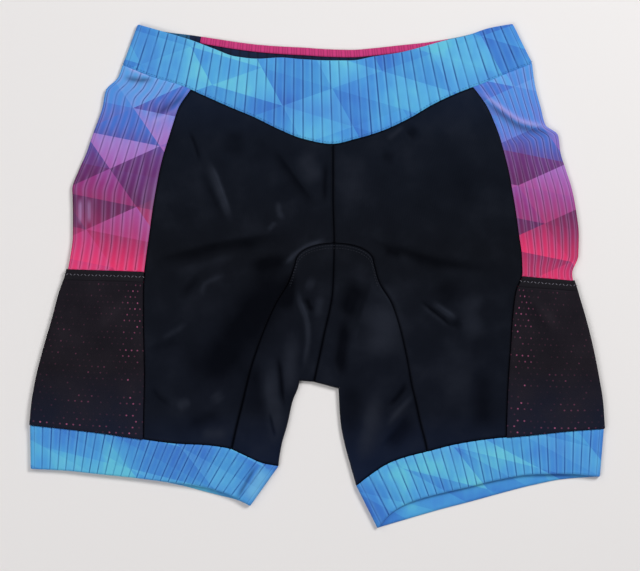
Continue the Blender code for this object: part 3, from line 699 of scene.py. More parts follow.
def outward_normals(grid: Array, closed: bool, outward: tuple[int, float]) -> Array:
    """Unit normals on the garment's outer side.

    Args:
        grid: middle points, shape (rows, columns, 3).
        closed: whether the last column joins the first.
        outward: a column, and the sign that the outer side's z has there.

    Returns:
        Normals, of the grid's shape.
    """
    if closed:
        across = np.roll(grid, -1, axis=1) - np.roll(grid, 1, axis=1)
    else:
        across = np.gradient(grid, axis=1)
    normal = np.cross(across, np.gradient(grid, axis=0))
    where, sign = outward
    if normal[len(grid) // 2, where, 2] * sign < 0:
        normal = -normal
    return normal / np.linalg.norm(normal, axis=2, keepdims=True)


def edge_distances(grid: Array) -> dict[str, Array]:
    """How far each grid point is from each edge, along the cloth."""
    across = np.linalg.norm(np.diff(grid, axis=1), axis=2)
    along = np.linalg.norm(np.diff(grid, axis=0), axis=2)
    start = np.hstack([np.zeros((len(grid), 1)), np.cumsum(across, axis=1)])
    top = np.vstack([np.zeros((1, grid.shape[1])), np.cumsum(along, axis=0)])
    return {"start": start, "end": start[:, -1:] - start, "top": top, "bottom": top[-1:] - top}


def inset(grid: Array, sides: Sequence[str]) -> Array:
    """Draw the grid's seam edges in by half the seam gap, square to the edge."""
    grid = grid.copy()
    source = grid.copy()
    views = {
        "top": (source, grid),
        "bottom": (source[::-1], grid[::-1]),
        "start": (source.transpose(1, 0, 2), grid.transpose(1, 0, 2)),
        "end": (source[:, ::-1].transpose(1, 0, 2), grid[:, ::-1].transpose(1, 0, 2)),
    }
    for side in sides:
        before, after = views[side]
        inward = before[1] - before[0]
        inward /= np.linalg.norm(inward, axis=1, keepdims=True)
        tangent = np.gradient(before[0], axis=0)
        tangent /= np.linalg.norm(tangent, axis=1, keepdims=True)
        lean = np.sqrt(1 - np.sum(inward * tangent, axis=1) ** 2)
        after[0] += inward * (SEAM_GAP / 2) / np.maximum(lean, 0.4)[:, None]
    return grid


def seam_roll(distance: Array) -> Array:
    """Rise of a panel beside a seam: it turns down into the seam, with a soft swell behind."""
    return 0.1 * np.exp(-(((distance - 2.6) / 1.8) ** 2)) - 0.3 * np.exp(-((distance / 0.9) ** 2))


def seam_mark(gaps: dict[str, Array]) -> Array:
    """How much of a seam a point of a panel is, from 0 to 1."""
    nearest = np.min([gaps[side] for side in gaps], axis=0)
    return np.exp(-((nearest / SEAM_SHADE) ** 2))


@dataclass
class Cloth:
    """A closed wall of cloth round a grid of middle points."""

    name: str
    grid: Array
    outward: tuple[int, float]
    closed: bool = False
    wall: float = WALL
    rise: Array | None = None
    groove: Array | None = None
    # whether the cloth's colour takes the creases' painted highlight and painted shade
    light_painted: bool = False

    def normals(self) -> Array:
        """Unit normals on the outer side."""
        return outward_normals(self.grid, self.closed, self.outward)

    def outer(self) -> Array:
        """Points of the outer face, with its relief."""
        rise = 0.0 if self.rise is None else self.rise[:, :, None]
        return self.grid + self.normals() * (self.wall / 2 + rise)

    def cloth_map(self) -> Array:
        """Where each grid point lies on the flat cloth, in metres; a closed ring has one more column."""
        grid = np.hstack([self.grid, self.grid[:, :1]]) if self.closed else self.grid
        gaps = edge_distances(grid)
        middle = gaps["start"][len(grid) // 2]
        return np.stack([np.broadcast_to(middle, gaps["top"].shape), gaps["top"]], axis=-1) * MM

    def flat_size(self) -> tuple[tuple[float, float], float]:
        """Width and length of the cut in metres, and its area in square metres."""
        grid = np.hstack([self.grid, self.grid[:, :1]]) if self.closed else self.grid
        gaps = edge_distances(grid)
        width, length = gaps["start"][:, -1].max() * MM, gaps["top"][-1].max() * MM
        a, b = grid[1:, 1:] - grid[:-1, :-1], grid[1:, :-1] - grid[:-1, 1:]
        area = np.linalg.norm(np.cross(a, b), axis=2).sum() / 2 * MM**2
        return (round(width, 4), round(length, 4)), min(area, width * length)

    def build(self, finish: bpy.types.Material) -> bpy.types.Object:
        """Make the mesh: outer face, inner face and rounded rims, all one closed shell."""
        rows, columns = self.grid.shape[:2]
        normal = self.normals()
        outer = self.outer()
        inner = self.grid - normal * self.wall / 2
        count = rows * columns
        last = columns if self.closed else columns - 1
        i, j = (a.ravel() for a in np.meshgrid(np.arange(rows - 1), np.arange(last), indexing="ij"))
        corners = [(i, j), (i, j + 1), (i + 1, j + 1), (i + 1, j)]
        at = lambda r, c: r * columns + c % columns
        plan = lambda r, c: r * (columns + 1) + c
        top_faces = np.stack([at(*c) for c in corners], axis=1)
        top_plan = np.stack([plan(*c) for c in corners], axis=1)
        faces = [top_faces, top_faces[:, ::-1] + count]
        plans = [top_plan, top_plan[:, ::-1]]
        points = [outer.reshape(-1, 3), inner.reshape(-1, 3)]
        used = 2 * count
        for ring_rows, ring_columns, ring_closed in self._rims(rows, columns):
            mid, faces_here, plans_here = self._rim(
                ring_rows, ring_columns, ring_closed, outer, inner, used, count, at, plan
            )
            points.append(mid)
            faces += faces_here
            plans += plans_here
            used += len(mid)
        vertices, faces, plans = np.vstack(points) * MM, np.vstack(faces), np.vstack(plans)
        a, b, c = (vertices[faces[:, k]] for k in (0, 1, 2))
        d = vertices[faces[:, 3]]
        volume = (a * np.cross(b, c)).sum() + (a * np.cross(c, d)).sum()
        if volume < 0:
            faces, plans = faces[:, ::-1], plans[:, ::-1]
        mesh = bpy.data.meshes.new(self.name)
        mesh.from_pydata(vertices.tolist(), [], faces.tolist())
        self._dress(mesh, plans, used)
        mesh.materials.append(finish)
        piece = bpy.data.objects.new(self.name, mesh)
        bpy.context.collection.objects.link(piece)
        return piece

    def _rims(self, rows: int, columns: int) -> list[tuple[Array, Array, bool]]:
        """Grid rows and columns of each rim, in the order in which the outer face runs round."""
        if self.closed:
            run = np.arange(columns + 1)
            return [
                (np.zeros(columns + 1, int), run, True),
                (np.full(columns + 1, rows - 1), run[::-1], True),
            ]
        across, along = np.arange(columns), np.arange(rows)
        ring_rows = np.concatenate([
            np.zeros(columns - 1, int), along[:-1], np.full(columns - 1, rows - 1), along[:0:-1], [0],
        ])
        ring_columns = np.concatenate([
            across[:-1], np.full(rows - 1, columns - 1), across[:0:-1], np.zeros(rows - 1, int), [0],
        ])
        return [(ring_rows, ring_columns, False)]

    def _rim(
        self, rows: Array, columns: Array, ring: bool, outer: Array, inner: Array,
        used: int, count: int, at: Callable, plan: Callable,
    ) -> tuple[Array, list[Array], list[Array]]:
        """A rounded rim along a run of grid points.

        Args:
            rows: grid rows of the run, its first point again at its end.
            columns: grid columns of the run.
            ring: whether the run goes round a closed band.
            outer: points of the outer face.
            inner: points of the inner face.
            used: vertices made so far.
            count: vertices of one face.
            at: vertex number of a grid point.
            plan: number of a grid point on the cloth map.

        Returns:
            The rim's middle points, its faces and their numbers on the cloth map.
        """
        height, width = self.grid.shape[:2]
        wrapped = columns % width
        here = self.grid[rows, wrapped]
        out = np.zeros_like(here)
        for edge, inner_row in ((0, 1), (height - 1, height - 2)):
            on = rows == edge
            out[on] += unit(here[on] - self.grid[inner_row, wrapped[on]])
        if not ring:
            for edge, inner_column in ((0, 1), (width - 1, width - 2)):
                on = columns == edge
                out[on] += unit(here[on] - self.grid[rows[on], inner_column])
        middle = (outer[rows, wrapped] + inner[rows, wrapped]) / 2 + unit(out) * self.wall * 0.32
        n = len(rows) - 1
        k = np.arange(n)
        a, b = at(rows[:-1], columns[:-1]), at(rows[1:], columns[1:])
        pa, pb = plan(rows[:-1], columns[:-1]), plan(rows[1:], columns[1:])
        ma, mb = used + k, used + (k + 1) % n
        faces = [np.stack([b, a, ma, mb], axis=1), np.stack([mb, ma, a + count, b + count], axis=1)]
        maps = np.stack([pb, pa, pa, pb], axis=1)
        return middle[:-1], faces, [maps, maps]

    def _dress(self, mesh: bpy.types.Mesh, plans: Array, used: int) -> None:
        """Add the cloth map, the groove attribute and the creases' painted light, and shade smooth.

        Args:
            mesh: the new mesh.
            plans: each face corner's number on the cloth map.
            used: the mesh's vertices.
        """
        rows, columns = self.grid.shape[:2]
        flat = self.cloth_map()
        if not self.closed:
            flat = np.concatenate([flat, flat[:, -1:]], axis=1)
        layer = mesh.uv_layers.new(name="cloth")
        layer.uv.foreach_set("vector", flat.reshape(-1, 2)[plans.ravel()].ravel().astype(np.float32))
        marks = {"groove": self.groove, "nap": None}
        # painted highlight and painted shade of the creases, faded where the cloth lies on the lower
        # layer
        if self.light_painted:
            above = ease((self.grid[:, :, 2] - LOWER_MID - 0.6) / 1.2)
            marks["nap"] = painted_light_of(self.grid[:, :, :2]) * above
        for name, values in marks.items():
            whole = np.zeros(used, np.float32)
            if values is not None:
                whole[: rows * columns] = values.ravel()
            mesh.attributes.new(name, "FLOAT", "POINT").data.foreach_set("value", whole)
        mesh.polygons.foreach_set("use_smooth", np.ones(len(mesh.polygons), bool))
        mesh.update()


def unit(vectors: Array) -> Array:
    """Vectors of length 1."""
    return vectors / np.maximum(np.linalg.norm(vectors, axis=-1, keepdims=True), 1e-9)


def steps(count: int) -> Array:
    """Even shares from 0 to 1."""
    return np.linspace(0.0, 1.0, count + 1)


@dataclass(frozen=True)
class Ribs:
    """Ribs knitted into a cloth: broad soft crowns with a narrow groove between them."""

    crown: float = 0.2
    depth: float = 0.55
    groove: float = 0.6
    offsets: tuple[float, ...] = (0.0, 0.05, 0.1, 0.16, 0.26, 0.4, 0.6, 0.74, 0.84, 0.9, 0.95)

    def shares(self, count: int) -> Array:
        """Shares across for a number of ribs, closer together at the grooves."""
        return np.concatenate([(k + np.array(self.offsets)) / count for k in range(count)] + [[1.0]])

    def phase(self, shares: Array, count: int) -> Array:
        """Distance from the nearest groove in millimetres."""
        inside = (shares * count) % 1.0
        return np.minimum(inside, 1 - inside) * RIB_PITCH

    def rise(self, distance: Array) -> Array:
        """Relief at a distance from a groove."""
        crown = self.crown * (1 - np.exp(-((distance / 1.6) ** 2)))
        return crown - self.depth * np.exp(-((distance / self.groove) ** 2))

    def mark(self, distance: Array) -> Array:
        """How much of a groove a point is, from 0 to 1."""
        return np.exp(-((distance / (self.groove * 1.5)) ** 2))


RIBS = Ribs()


MATH = "ShaderNodeMath"
MIX = "ShaderNodeMix"
RANGE = "ShaderNodeMapRange"
NOISE = "ShaderNodeTexNoise"
RAMP = "ShaderNodeValToRGB"
AXES = "ShaderNodeSeparateXYZ"
ATTRIBUTE = "ShaderNodeAttribute"
MIXED_COLOUR = 2


def to_linear(colour: str) -> tuple[float, float, float, float]:
    """Linear colour with alpha from an sRGB hex value."""
    channels = [int(colour[i:i + 2], 16) / 255 for i in (1, 3, 5)]
    linear = [c / 12.92 if c <= 0.04045 else ((c + 0.055) / 1.055) ** 2.4 for c in channels]
    return (*linear, 1.0)


def add_node(
    tree: bpy.types.NodeTree, kind: str, links: dict | None = None, out: int | str = 0,
    **settings: object,
) -> bpy.types.NodeSocket | None:
    """Add a node with its settings and links.

    Args:
        tree: the node tree.
        kind: the node's type name.
        links: socket, value or hex colour for each input, by name or number.
        out: which output is wanted.
        **settings: the node's own properties, and the stops of a colour ramp.

    Returns:
        The wanted output, or None for a node without outputs.
    """
    made = tree.nodes.new(kind)
    for name, value in settings.items():
        if name == "stops":
            ramp = made.color_ramp
            while len(ramp.elements) < len(value):
                ramp.elements.new(0.5)
            for element, (at, colour) in zip(ramp.elements, value):
                element.position = at
                element.color = to_linear(colour)
        else:
            setattr(made, name, value)
    for key, value in (links or {}).items():
        if isinstance(value, bpy.types.NodeSocket):
            tree.links.new(value, made.inputs[key])
        elif isinstance(value, str):
            made.inputs[key].default_value = to_linear(value)
        else:
            made.inputs[key].default_value = value
    return made.outputs[out] if made.outputs else None


@dataclass(frozen=True)
class Surface:
    """What every finish shares: its own material, with a Principled shader."""

    name: str

    def finish(self, tree: bpy.types.NodeTree, links: dict) -> None:
        """Close the tree with a Principled shader.

        Args:
            tree: the material's tree.
            links: socket, value or hex colour for the shader's inputs.
        """
        shader = add_node(tree, "ShaderNodeBsdfPrincipled", {"IOR": 1.5, **links})
        add_node(tree, "ShaderNodeOutputMaterial", {"Surface": shader})

    def start(self) -> tuple[bpy.types.Material, bpy.types.NodeTree]:
        """An empty material and its tree."""
        surface = bpy.data.materials.new(self.name)
        surface.use_nodes = True
        surface.node_tree.nodes.clear()
        return surface, surface.node_tree


@dataclass(frozen=True)
class Knit:
    """Fine knit of a cloth. The real loops are about 0.4 mm wide, too fine to show, so the
    columns of loops are drawn 1.2 mm apart."""

    pitch_mm: float = 1.2
    strength: float = 0.25
    depth_mm: float = 0.12
    course_share: float = 1.3
    fuzz_per_m: float = 900.0

    def bump(self, tree: bpy.types.NodeTree, extra: object = 0.0) -> bpy.types.NodeSocket:
        """Normal from columns and rows of loops and a fine unevenness.

        Args:
            tree: the material's tree.
            extra: one more height, as a share of the knit's depth.

        Returns:
            The bump's normal.
        """
        add = partial(add_node, tree)
        place = add("ShaderNodeUVMap", uv_map="cloth")
        turns = 2 * math.pi / (self.pitch_mm * MM)
        column = add(MATH, {0: add(AXES, {0: place}), 1: turns}, operation="MULTIPLY")
        row = add(MATH, {0: add(AXES, {0: place}, "Y"), 1: turns * self.course_share},
                  operation="MULTIPLY")
        wales = add(MATH, {0: column}, operation="SINE")
        courses = add(MATH, {0: row}, operation="SINE")
        loops = add(MATH, {0: courses, 1: 0.6, 2: wales}, operation="MULTIPLY_ADD")
        fuzz = add(NOISE, {"Vector": place, "Scale": self.fuzz_per_m, "Detail": 2.0})
        rough = add(MATH, {0: fuzz, 1: 1.8, 2: loops}, operation="MULTIPLY_ADD")
        height = add(MATH, {0: rough, 1: 0.5, 2: extra}, operation="MULTIPLY_ADD")
        return add("ShaderNodeBump", {
            "Strength": self.strength, "Distance": self.depth_mm * MM, "Height": height,
        })


@dataclass(frozen=True)
class ElastaneJersey(Surface):
    """Black elastane jersey, knitted fine and tight: a deep black with a cool satin gloss on its
    slopes, with painted highlight along some creases and painted shade along others and on the
    seams; its gloss follows the same marks."""

    name: str = "elastane_jersey_black"
    blues: tuple[tuple[float, str], ...] = (
        (0.0, "#0D1830"), (0.2, "#0A0D16"), (0.55, "#08090D"), (0.8, "#0A0E17"), (1.0, "#0E182C"),
    )
    # colours of the painted highlight and the painted shade along creases; the shade colour also darkens
    # the seams
    painted_highlight: str = "#23262F"
    painted_shade: str = "#020204"
    half_length_m: float = 0.2

    def make(self) -> bpy.types.Material:
        """Build the material."""
        surface, tree = self.start()
        add = partial(add_node, tree)
        place = add("ShaderNodeTexCoord", out="Object")
        height = add(RANGE, {0: add(AXES, {0: place}, "Y"), 1: -self.half_length_m,
                             2: self.half_length_m})
        shade = add(RAMP, {0: height}, stops=self.blues)
        patches = add(NOISE, {"Vector": place, "Scale": 42.0, "Detail": 5.0})
        uneven = add(MATH, {0: patches, 1: 1.3, 2: -0.65}, operation="MULTIPLY_ADD")
        # painted light: the creases' painted highlight and painted shade, with random patches, lift the
        # black towards the highlight colour and sink it towards the shade colour
        nap = add(ATTRIBUTE, out="Fac", attribute_name="nap")
        mottle_and_painted_light = add(MATH, {0: nap, 1: uneven}, operation="ADD")
        up = add(RANGE, {0: mottle_and_painted_light, 1: 0.0, 2: 1.3, 3: 0.0, 4: 0.6})
        flat = add(RANGE, {0: mottle_and_painted_light, 1: 0.0, 2: -1.2, 3: 0.0, 4: 0.6})
        colour = add(MIX, {0: up, 6: shade, 7: self.painted_highlight}, MIXED_COLOUR, data_type="RGBA")
        colour = add(MIX, {0: flat, 6: colour, 7: self.painted_shade}, MIXED_COLOUR, data_type="RGBA")
        # painted shade along the seams, in the painted shade colour
        seam = add(ATTRIBUTE, out="Fac", attribute_name="groove")
        colour = add(MIX, {0: seam, 6: colour, 7: self.painted_shade}, MIXED_COLOUR, data_type="RGBA")
        gloss = add(RANGE, {0: mottle_and_painted_light, 1: -1.1, 2: 1.2, 3: 0.04, 4: 0.2})
        dull = add(MATH, {0: seam, 1: -0.8, 2: 1.0}, operation="MULTIPLY_ADD")
        self.finish(tree, {
            "Base Color": colour,
            "Roughness": 0.52,
            "Specular IOR Level": add(MATH, {0: gloss, 1: dull}, operation="MULTIPLY"),
            "Specular Tint": "#BCCCF0",
            "Normal": Knit().bump(tree),
        })
        return surface


class Shading(Enum):
    """How a print changes over the garment."""

    PLAIN = "plain"
    DOWN = "down"


@dataclass(frozen=True)
class RibbedPrint(Surface):
    """Ribbed elastane cloth with a dye print: a matt, bright colour that pools a little, narrow
    grooves painted dark as shade with a painted highlight on their shoulders, painted shade and
    highlight along the creases, and slanted lozenges, each split in two tones, a pattern made up
    for this part."""

    shading: Shading
    stops: tuple[tuple[float, str], ...]
    deep: tuple[tuple[float, str], ...]
    pale: tuple[tuple[float, str], ...]
    # colours of the painted shade in the rib grooves and of the painted highlight on the rib shoulders
    # and along creases
    groove: str
    print_highlight: str
    groove_share: float = 0.75
    shoulder_highlight_share: float = 0.35
    cell_mm: tuple[float, float] = (52.0, 40.0)
    lean: tuple[float, float] = (0.55, -0.35)
    contrast: float = 0.5
    spread: float = 0.06
    span_mm: tuple[float, float] = (-10.0, 190.0)
    # colour of the painted shade along creases
    shadow: str = "#3A3450"
    streak_per_m: tuple[float, float, float] = (120.0, 16.0, 60.0)

    def make(self) -> bpy.types.Material:
        """Build the material."""
        surface, tree = self.start()
        add = partial(add_node, tree)
        place = add("ShaderNodeTexCoord", out="Object")
        streaked = add("ShaderNodeMapping", {0: place, 3: self.streak_per_m})
        dye = add(NOISE, {"Vector": streaked, "Scale": 1.0, "Detail": 5.0, "Roughness": 0.6})
        share, tone = self._lozenges(tree, place, dye)
        colour = add(RAMP, {0: share}, stops=self.stops)
        for stops, low, high in ((self.deep, 0.62, 0.66), (self.pale, 0.34, 0.30)):
            told = add(RANGE, {0: tone, 1: low, 2: high, 3: 0.0, 4: self.contrast})
            colour = add(MIX, {0: told, 6: colour, 7: add(RAMP, {0: share}, stops=stops)},
                         MIXED_COLOUR, data_type="RGBA")
        # painted highlight on the rib shoulders and painted shade in the rib grooves, made uneven along
        # their length by the dye noise
        mark = add(ATTRIBUTE, out="Fac", attribute_name="groove")
        painted_groove_strength = add(RANGE, {0: dye, 1: 0.35, 2: 0.6, 3: 0.35, 4: 1.0})
        rim = add("ShaderNodeFloatCurve", {1: mark})
        rim.node.mapping.curves[0].points[1].location = (1.0, 0.0)
        rim.node.mapping.curves[0].points.new(0.3, 1.0)
        rim.node.mapping.update()
        rim = add(MATH, {0: rim, 1: painted_groove_strength}, operation="MULTIPLY")
        rim = add(MATH, {0: rim, 1: self.shoulder_highlight_share}, operation="MULTIPLY")
        colour = add(MIX, {0: rim, 6: colour, 7: self.print_highlight}, MIXED_COLOUR, data_type="RGBA")
        core = add(RANGE, {0: mark, 1: 0.45, 2: 0.95, 3: 0.0, 4: self.groove_share})
        core = add(MATH, {0: core, 1: painted_groove_strength}, operation="MULTIPLY")
        colour = add(MIX, {0: core, 6: colour, 7: self.groove}, MIXED_COLOUR, data_type="RGBA",
                     blend_type="MULTIPLY")
        # painted shade and painted highlight along the creases
        nap = add(ATTRIBUTE, out="Fac", attribute_name="nap")
        flat = add(RANGE, {0: nap, 1: 0.0, 2: -1.2, 3: 0.0, 4: 0.8})
        colour = add(MIX, {0: flat, 6: colour, 7: self.shadow}, MIXED_COLOUR, data_type="RGBA",
                     blend_type="MULTIPLY")
        up = add(RANGE, {0: nap, 1: 0.0, 2: 1.2, 3: 0.0, 4: 0.6})
        colour = add(MIX, {0: up, 6: colour, 7: self.print_highlight}, MIXED_COLOUR, data_type="RGBA")
        self.finish(tree, {
            "Base Color": colour,
            "Roughness": 0.7,
            "Specular IOR Level": 0.2,
            "Sheen Weight": 0.05,
            "Sheen Roughness": 0.4,
            "Normal": Knit(strength=0.3).bump(tree),
        })
        return surface

    def _lozenges(
        self, tree: bpy.types.NodeTree, place: bpy.types.NodeSocket, dye: bpy.types.NodeSocket,
    ) -> tuple[bpy.types.NodeSocket, bpy.types.NodeSocket]:
        """The print's place in its colours and each half lozenge's own chance.

        Args:
            tree: the material's tree.
            place: object coordinates.
            dye: noise of the dye.

        Returns:
            The place from 0 to 1, and a number from 0 to 1 for each half lozenge.
        """
        add = partial(add_node, tree)
        x, y = (add(AXES, {0: place}, axis) for axis in ("X", "Y"))
        cells = []
        rest = []
        for here, other, lean, size in zip((x, y), (y, x), self.lean, self.cell_mm):
            aslant = add(MATH, {0: other, 1: lean, 2: here}, operation="MULTIPLY_ADD")
            count = add(MATH, {0: aslant, 1: 1 / (size * MM)}, operation="MULTIPLY")
            cells.append(add(MATH, {0: count}, operation="FLOOR"))
            rest.append(add(MATH, {0: count}, operation="FRACT"))
        both = add(MATH, {0: rest[0], 1: rest[1]}, operation="ADD")
        half = add(MATH, {0: both, 1: 1.0}, operation="GREATER_THAN")
        cell = add("ShaderNodeCombineXYZ", {0: cells[0], 1: cells[1], 2: half})
        first, second = (
            add("ShaderNodeTexWhiteNoise", {0: cell, 1: turn}, noise_dimensions="4D")
            for turn in (3.0, 7.0)
        )
        if self.shading is Shading.DOWN:
            ends = [end * MM for end in self.span_mm]
            start = add(RANGE, {0: y, 1: ends[0], 2: ends[1]})
        else:
            start = add(NOISE, {"Vector": place, "Scale": 15.0, "Detail": 3.0})
        slope = add(MATH, {0: rest[0], 1: 0.5, 2: first}, operation="MULTIPLY_ADD")
        soft = add(MATH, {0: dye, 1: 1.2, 2: slope}, operation="MULTIPLY_ADD")
        level = add(MATH, {0: soft, 1: 1.35}, operation="SUBTRACT")
        share = add(MATH, {0: level, 1: 2 * self.spread, 2: start}, operation="MULTIPLY_ADD")
        return share, second


@dataclass(frozen=True)
class PerforatedMesh(Surface):
    """Warp-knitted pocket mesh, black, with staggered pin holes: the print under it shows through
    some of the holes as small warm dots, most of them near the seams."""

    name: str = "pocket_mesh_black"
    pitch_mm: float = 5.2
    hole_mm: float = 0.9
    dot: str = "#A8587C"
    low: str = "#121A2E"
    high: str = "#141118"
    lit: str = "#221D24"
    low_y_m: float = -0.16
    high_y_m: float = -0.08

    def make(self) -> bpy.types.Material:
        """Build the material."""
        surface, tree = self.start()
        add = partial(add_node, tree)
        place = add("ShaderNodeUVMap", uv_map="cloth")
        spread = 1 / (self.pitch_mm * MM)
        across, along = (
            add(MATH, {0: add(AXES, {0: place}, axis), 1: spread}, operation="MULTIPLY")
            for axis in ("X", "Y")
        )
        row = add(MATH, {0: along}, operation="FLOOR")
        shifted = add(MATH, {0: row, 1: 0.5, 2: across}, operation="MULTIPLY_ADD")
        column = add(MATH, {0: shifted}, operation="FLOOR")
        offsets = []
        for value in (shifted, along):
            turn = add(MATH, {0: value}, operation="FRACT")
            offset = add(MATH, {0: turn, 1: 0.5}, operation="SUBTRACT")
            offsets.append(add(MATH, {0: offset, 1: self.pitch_mm}, operation="MULTIPLY"))
        away = add("ShaderNodeCombineXYZ", {0: offsets[0], 1: offsets[1]})
        away = add("ShaderNodeVectorMath", {0: away}, "Value", operation="LENGTH")
        hole = add(RANGE, {0: away, 1: self.hole_mm * 0.5, 2: self.hole_mm, 3: 1.0, 4: 0.0},
                   interpolation_type="SMOOTHSTEP")
        cell = add("ShaderNodeCombineXYZ", {0: column, 1: row})
        chance = add("ShaderNodeTexWhiteNoise", {0: cell}, noise_dimensions="3D")
        chance = add(MATH, {0: chance, 1: 2.0}, operation="POWER")
        clouds = add(NOISE, {"Vector": place, "Scale": 30.0, "Detail": 4.0})
        loose = add(RANGE, {0: clouds, 1: 0.5, 2: 0.7, 3: 0.08, 4: 0.5})
        seam = add(ATTRIBUTE, out="Fac", attribute_name="groove")
        shown = add(MATH, {0: loose, 1: seam}, operation="MAXIMUM")
        shown = add(MATH, {0: shown, 1: chance}, operation="MULTIPLY")
        shown = add(MATH, {0: shown, 1: hole}, operation="MULTIPLY")
        y = add(AXES, {0: add("ShaderNodeTexCoord", out="Object")}, "Y")
        height = add(RANGE, {0: y, 1: self.low_y_m, 2: self.high_y_m})
        cloth = add(MIX, {0: height, 6: self.low, 7: self.high}, MIXED_COLOUR, data_type="RGBA")
        # painted highlight from the creases, with random mottle, towards the lit colour
        nap = add(ATTRIBUTE, out="Fac", attribute_name="nap")
        mottle_and_painted_light = add(MATH, {0: nap, 1: 0.5, 2: clouds}, operation="MULTIPLY_ADD")
        mottle_and_painted_light = add(RANGE, {0: mottle_and_painted_light, 1: 0.35, 2: 0.95, 3: 0.0, 4: 1.0})
        cloth = add(MIX, {0: mottle_and_painted_light, 6: cloth, 7: self.lit}, MIXED_COLOUR, data_type="RGBA")
        self.finish(tree, {
            "Base Color": add(MIX, {0: shown, 6: cloth, 7: self.dot}, MIXED_COLOUR,
                              data_type="RGBA"),
            "Roughness": 0.75,
            "Specular IOR Level": 0.08,
            "Normal": Knit(pitch_mm=1.5, strength=0.35).bump(tree),
        })
        return surface


@dataclass(frozen=True)
class PlainCloth(Surface):
    """Plain stretch cloth or thread of one colour with a slight cloudiness: matt, so it reads as
    fabric and not as plastic."""

    colour: str
    cloud: str
    roughness: float = 0.8
    gloss: float = 0.18
    # colour and share of the painted shade in the rib grooves
    groove: str = "#000000"
    groove_share: float = 0.0
    # colour of the band's ends: the print's inside, darkened as painted shade
    ends: str | None = None
    ends_from_mm: float = 112.0

    def make(self) -> bpy.types.Material:
        """Build the material."""
        surface, tree = self.start()
        add = partial(add_node, tree)
        place = add("ShaderNodeTexCoord", out="Object")
        clouds = add(NOISE, {"Vector": place, "Scale": 60.0, "Detail": 3.0})
        colour = add(MIX, {0: clouds, 6: self.colour, 7: self.cloud}, MIXED_COLOUR,
                     data_type="RGBA")
        # past ends_from_mm across, the band shows the print's own inside colour, darkened with painted
        # shade
        if self.ends:
            aside = add(MATH, {0: add(AXES, {0: place})}, operation="ABSOLUTE")
            outer = add(MATH, {0: aside, 1: self.ends_from_mm * MM}, operation="GREATER_THAN")
            colour = add(MIX, {0: outer, 6: colour, 7: self.ends}, MIXED_COLOUR,
                         data_type="RGBA")
        # painted shade in the rib grooves
        if self.groove_share:
            mark = add(ATTRIBUTE, out="Fac", attribute_name="groove")
            mark = add(MATH, {0: mark, 1: self.groove_share}, operation="MULTIPLY")
            colour = add(MIX, {0: mark, 6: colour, 7: self.groove}, MIXED_COLOUR,
                         data_type="RGBA")
        self.finish(tree, {
            "Base Color": colour,
            "Roughness": self.roughness,
            "Specular IOR Level": self.gloss,
            "Normal": Knit(strength=0.3).bump(tree),
        })
        return surface


